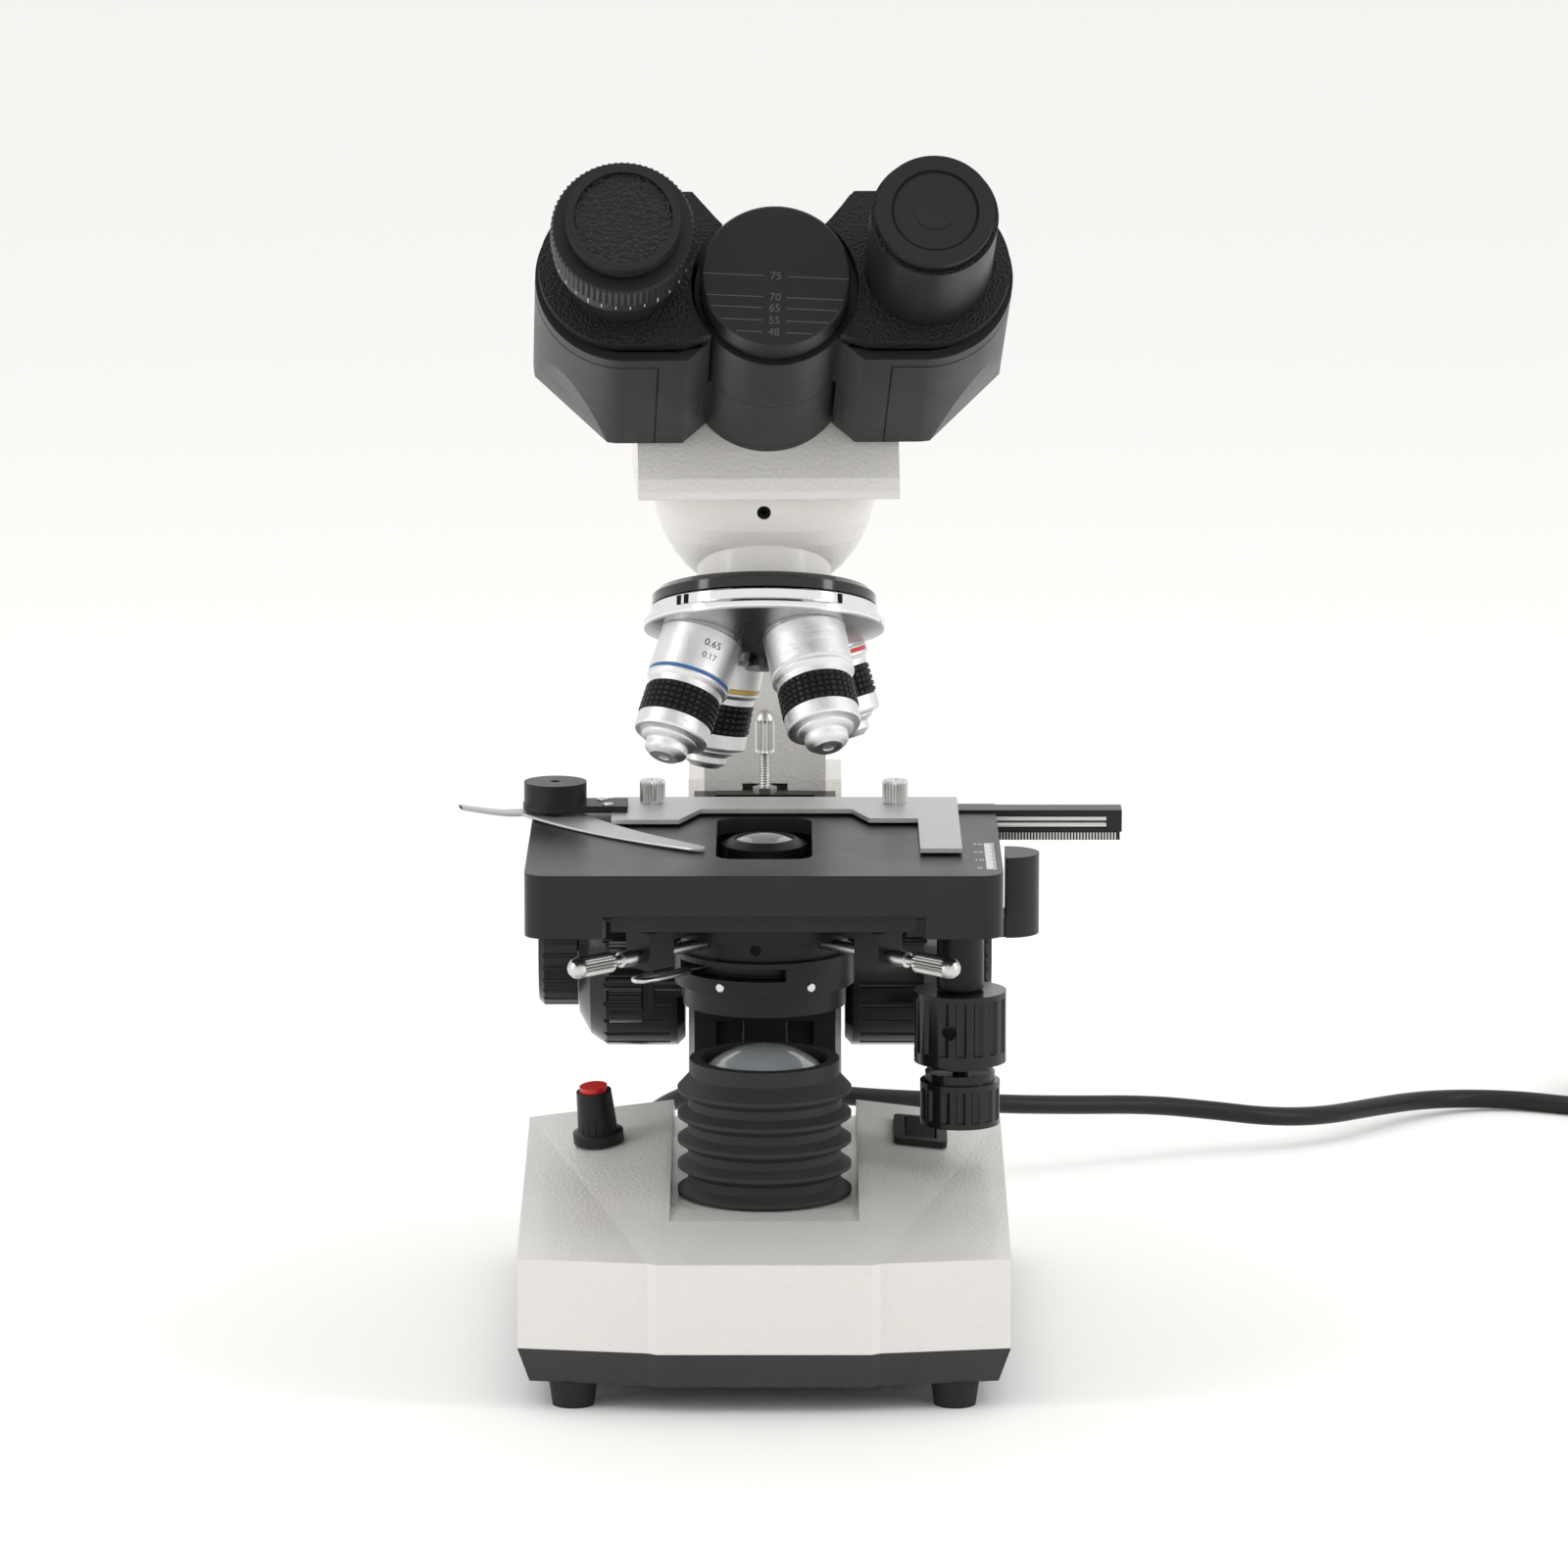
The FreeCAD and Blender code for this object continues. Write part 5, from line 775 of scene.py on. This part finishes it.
# %% Diopter ring
ring_profile = [(13.5, 94.3), (16.4, 94.3), (17.0, 94.9), (17.0, 99.2), (17.6, 99.6), (17.6, 107.0),
                (17.0, 107.7), (13.5, 107.7)]
ring_points = turned(dense(ring_profile, 1.3), 360, straight_knurl(72, 0.5, 99.5, 107.1, 17.2))
skin("diopter_knurl", on_head(ring_points + (-eyepiece_x, eyepiece_y, 0)), satin_black,
     "diopter", ["diopter_ring"], wrap_v=True, sharp=25)
skirt_radius = 17.02
tick_angles = np.radians(np.arange(-150, 150, 12.0) - 90)
long_tick, short_tick, long_every = 2.6, 1.5, 5


def around_ring(points):
    """x runs round the skirt as an angle, y along the tube and z outwards from it."""
    angle = points[:, 0]
    reach = skirt_radius + points[:, 2]
    return on_head(np.stack([-eyepiece_x + reach * np.cos(angle), eyepiece_y + reach * np.sin(angle),
                             points[:, 1]], -1))


diopter_ticks = [(angle, 97.2, 0, 0.012, short_tick if k % long_every else long_tick, 0.05)
                 for k, angle in enumerate(tick_angles)]
marks("diopter_ticks", diopter_ticks, around_ring, mark_white, "diopter")
print("diopter ticks:", len(tick_angles))

# %% [markdown]
# ## Caps, tubes and seams
# The left cap has a sunk disc with a leather grain. The right one has a groove, drawn as a thin dark ring
# of painted shade, and a faint middle disc. Each tube is smooth where its plate is pebbled, so a thin
# sleeve covers it. The housings are closed by covers whose seams are drawn as fine dark lines: each line
# is many short strips that follow the outline.

# %% Caps, tubes and seams
def hoop_skin(name, side, inner, outer, low, high, material, body):
    """A closed band about the eyepiece axis on one side."""
    band = [(inner, low), (outer, low), (outer, high), (inner, high)]
    shape = turned(dense(band + band[:1], 1.5)[:-1], 144) + (side * eyepiece_x, eyepiece_y, 0)
    return skin(name, on_head(shape), material, body, wrap_v=True)


hoop_skin("left_cap_leather", -1, 0.05, 11.85, 112.72, 112.95, leather_black, "left_dust_cap")
# Painted shade: a thin dark ring where the cap's groove lies.
hoop_skin("right_cap_groove_shade", 1, 10.0, 10.7, 116.72, 116.75, deep_black_and_shade, "right_dust_cap")
hoop_skin("right_cap_centre", 1, 0.05, 4.85, 116.7, 116.85, satin_black, "right_dust_cap")
hoop_skin("right_tube_sleeve", 1, 15.0, 15.62, 82.42, 113.5, satin_black, "right_half")
hoop_skin("left_tube_sleeve", -1, 14.0, 14.62, 82.42, 93.8, satin_black, "left_half")

seam_x, arc_x, arc_y, arc_radius = 28.6, 36.8, 3.7, 22.12
flat_run, flat_y = 9.2, -18.4
first_turn = math.atan2(flat_y - arc_y, seam_x + flat_run - arc_x)
strip_run, strip_count, seam_level = 2.0, 27, 73.5


def outline_place(points, side):
    """x runs along the under side and on round the outer arc, y is outwards, z along the tubes."""
    run, out, height = points.T
    angle = first_turn + np.clip(run - flat_run, 0, None) / arc_radius
    reach = arc_radius + out
    x = np.where(run < flat_run, seam_x + run, arc_x + reach * np.cos(angle))
    y = np.where(run < flat_run, flat_y - out, arc_y + reach * np.sin(angle))
    return on_head(np.stack([side * x, y, height], -1))


for side, label in ((-1, "left"), (1, "right")):
    level = [(1.0 + strip_run * k, 0.0, seam_level, 2.02, 0.1, 0.4) for k in range(strip_count)]
    rise = [(0.2, 0.0, middle, 0.4, 0.1, length)
            for middle, length in ((40, 20.5), (60, 20.5), (66, 15), (28.5, 8.6))]
    marks(f"{label}_cover_seam", level + rise, lambda p, side=side: outline_place(p, side),
          deep_black_and_shade, f"{label}_half")
print("head details done")

# %% [markdown]
# ## Stage scales and rack
# A pale strip with dark lines runs along the stage's right edge, with white numbers beside it. The
# travel bar has white lines of its own, and a toothed rack hangs below it where the pinion meets it.

# %% Stage scales and rack
stage_top = 139.4
stage_scale_start, stage_scale_step = -54.2, 1.044
ticks = []
for k in range(31):
    width = 0.9 if k % 5 else 1.5
    ticks.append((57.9 - width / 2 + 0.75, stage_scale_start + k * stage_scale_step, stage_top + 0.02,
                  width, 0.2, 0.05))
marks("stage_scale", ticks, upright, deep_black_and_shade, "stage_top")
marks("stage_scale_strip", [(57.2, -38.5, stage_top + 0.005, 2.6, 34.5, 0.02)], upright, mark_white,
      "stage_top")
for value in (0, 10, 20, 30):
    place = (54.2, stage_scale_start + value * stage_scale_step, stage_top + 0.02)
    lettering(f"stage_number_{value}", str(value), 2.6, lambda p, at=place: upright(p + at),
              mark_white, "stage_top", text_depth)
bar_ticks = [(-20 + k, 21.6 + (0 if k % 5 else 0.4), 140.12, 0.18, 1.2 if k % 5 else 2.0, 0.05)
             for k in range(41)]
marks("bar_scale", bar_ticks, upright, mark_white, "slide_holder")
rack_start, rack_pitch, rack_count = -38.6, 0.8, 163
rack_teeth = [(k * rack_pitch + rack_start, 20.95, 133.2, 0.4, 0.5, 2.0) for k in range(rack_count)]
marks("rack_teeth", rack_teeth, upright, steel, "slide_holder")
print("rack teeth:", len(rack_teeth))

# %% [markdown]
# ## Clip finger
# The slide's corner is held by a long sprung blade. It swings on the round knob, narrows to a rounded
# tip, dips a little towards the slide, and has a tail bent up for the thumb. The blade is a flat section
# carried along a curved centre line, with its width and height given by smooth formulas.

# %% Clip finger
blade_height, blade_thick, tip_share = 140.2, 0.9, 0.955
section = np.array([(-1, 0), (-0.93, -0.5), (0.93, -0.5), (1, 0), (0.93, 0.5), (-0.93, 0.5)])


def ribbon(line, across, half, height):
    """A flat six-sided section, as wide as twice half, carried along a line at a varying height."""
    flat = line[:, None, :] + across[:, None, :] * half[:, None, None] * section[None, :, :1]
    return np.concatenate([flat, height[:, None, None] + section[None, :, 1:] * blade_thick], -1)


s = np.linspace(0, 1, 60)
start, middle, tip = np.array([-58.0, 21.0]), np.array([-44.0, -7.0]), np.array([-15.2, -34.2])
line = ((1 - s) ** 2)[:, None] * start + (2 * s * (1 - s))[:, None] * middle + (s ** 2)[:, None] * tip
tangent = np.gradient(line, axis=0)
tangent = tangent / np.linalg.norm(tangent, axis=1)[:, None]
across = np.stack([-tangent[:, 1], tangent[:, 0]], -1)
half = 6.2 * (1 - s) ** 0.8 + 1.9
rounded = np.clip(1 - ((s - tip_share) / (1 - tip_share)) ** 2 * (s > tip_share), 0, 1)
blade = ribbon(line, across, half * np.sqrt(rounded) + 0.02, blade_height - 0.35 * np.sin(math.pi * s))
skin("clip_blade", upright(blade), plate_steel, "clip", ["clip_finger"], sharp=30)

s = np.linspace(0, 1, 24)
tail_line = np.stack([-56 - 22.5 * s, 18.5 - 5.5 * s], -1)
tail_across = np.array([[0.24, -0.97]])
tail_height = blade_height + 4.6 * np.clip(s - 0.45, 0, 1) ** 1.3
tail = ribbon(tail_line, tail_across, 3.6 - 1.4 * s, tail_height)
skin("clip_tail", upright(tail), plate_steel, "clip", sharp=30)
print("blade points:", blade.shape)

# %% [markdown]
# ## The end
# The view layer is brought up to date.

# %% Finish
bpy.context.view_layer.update()
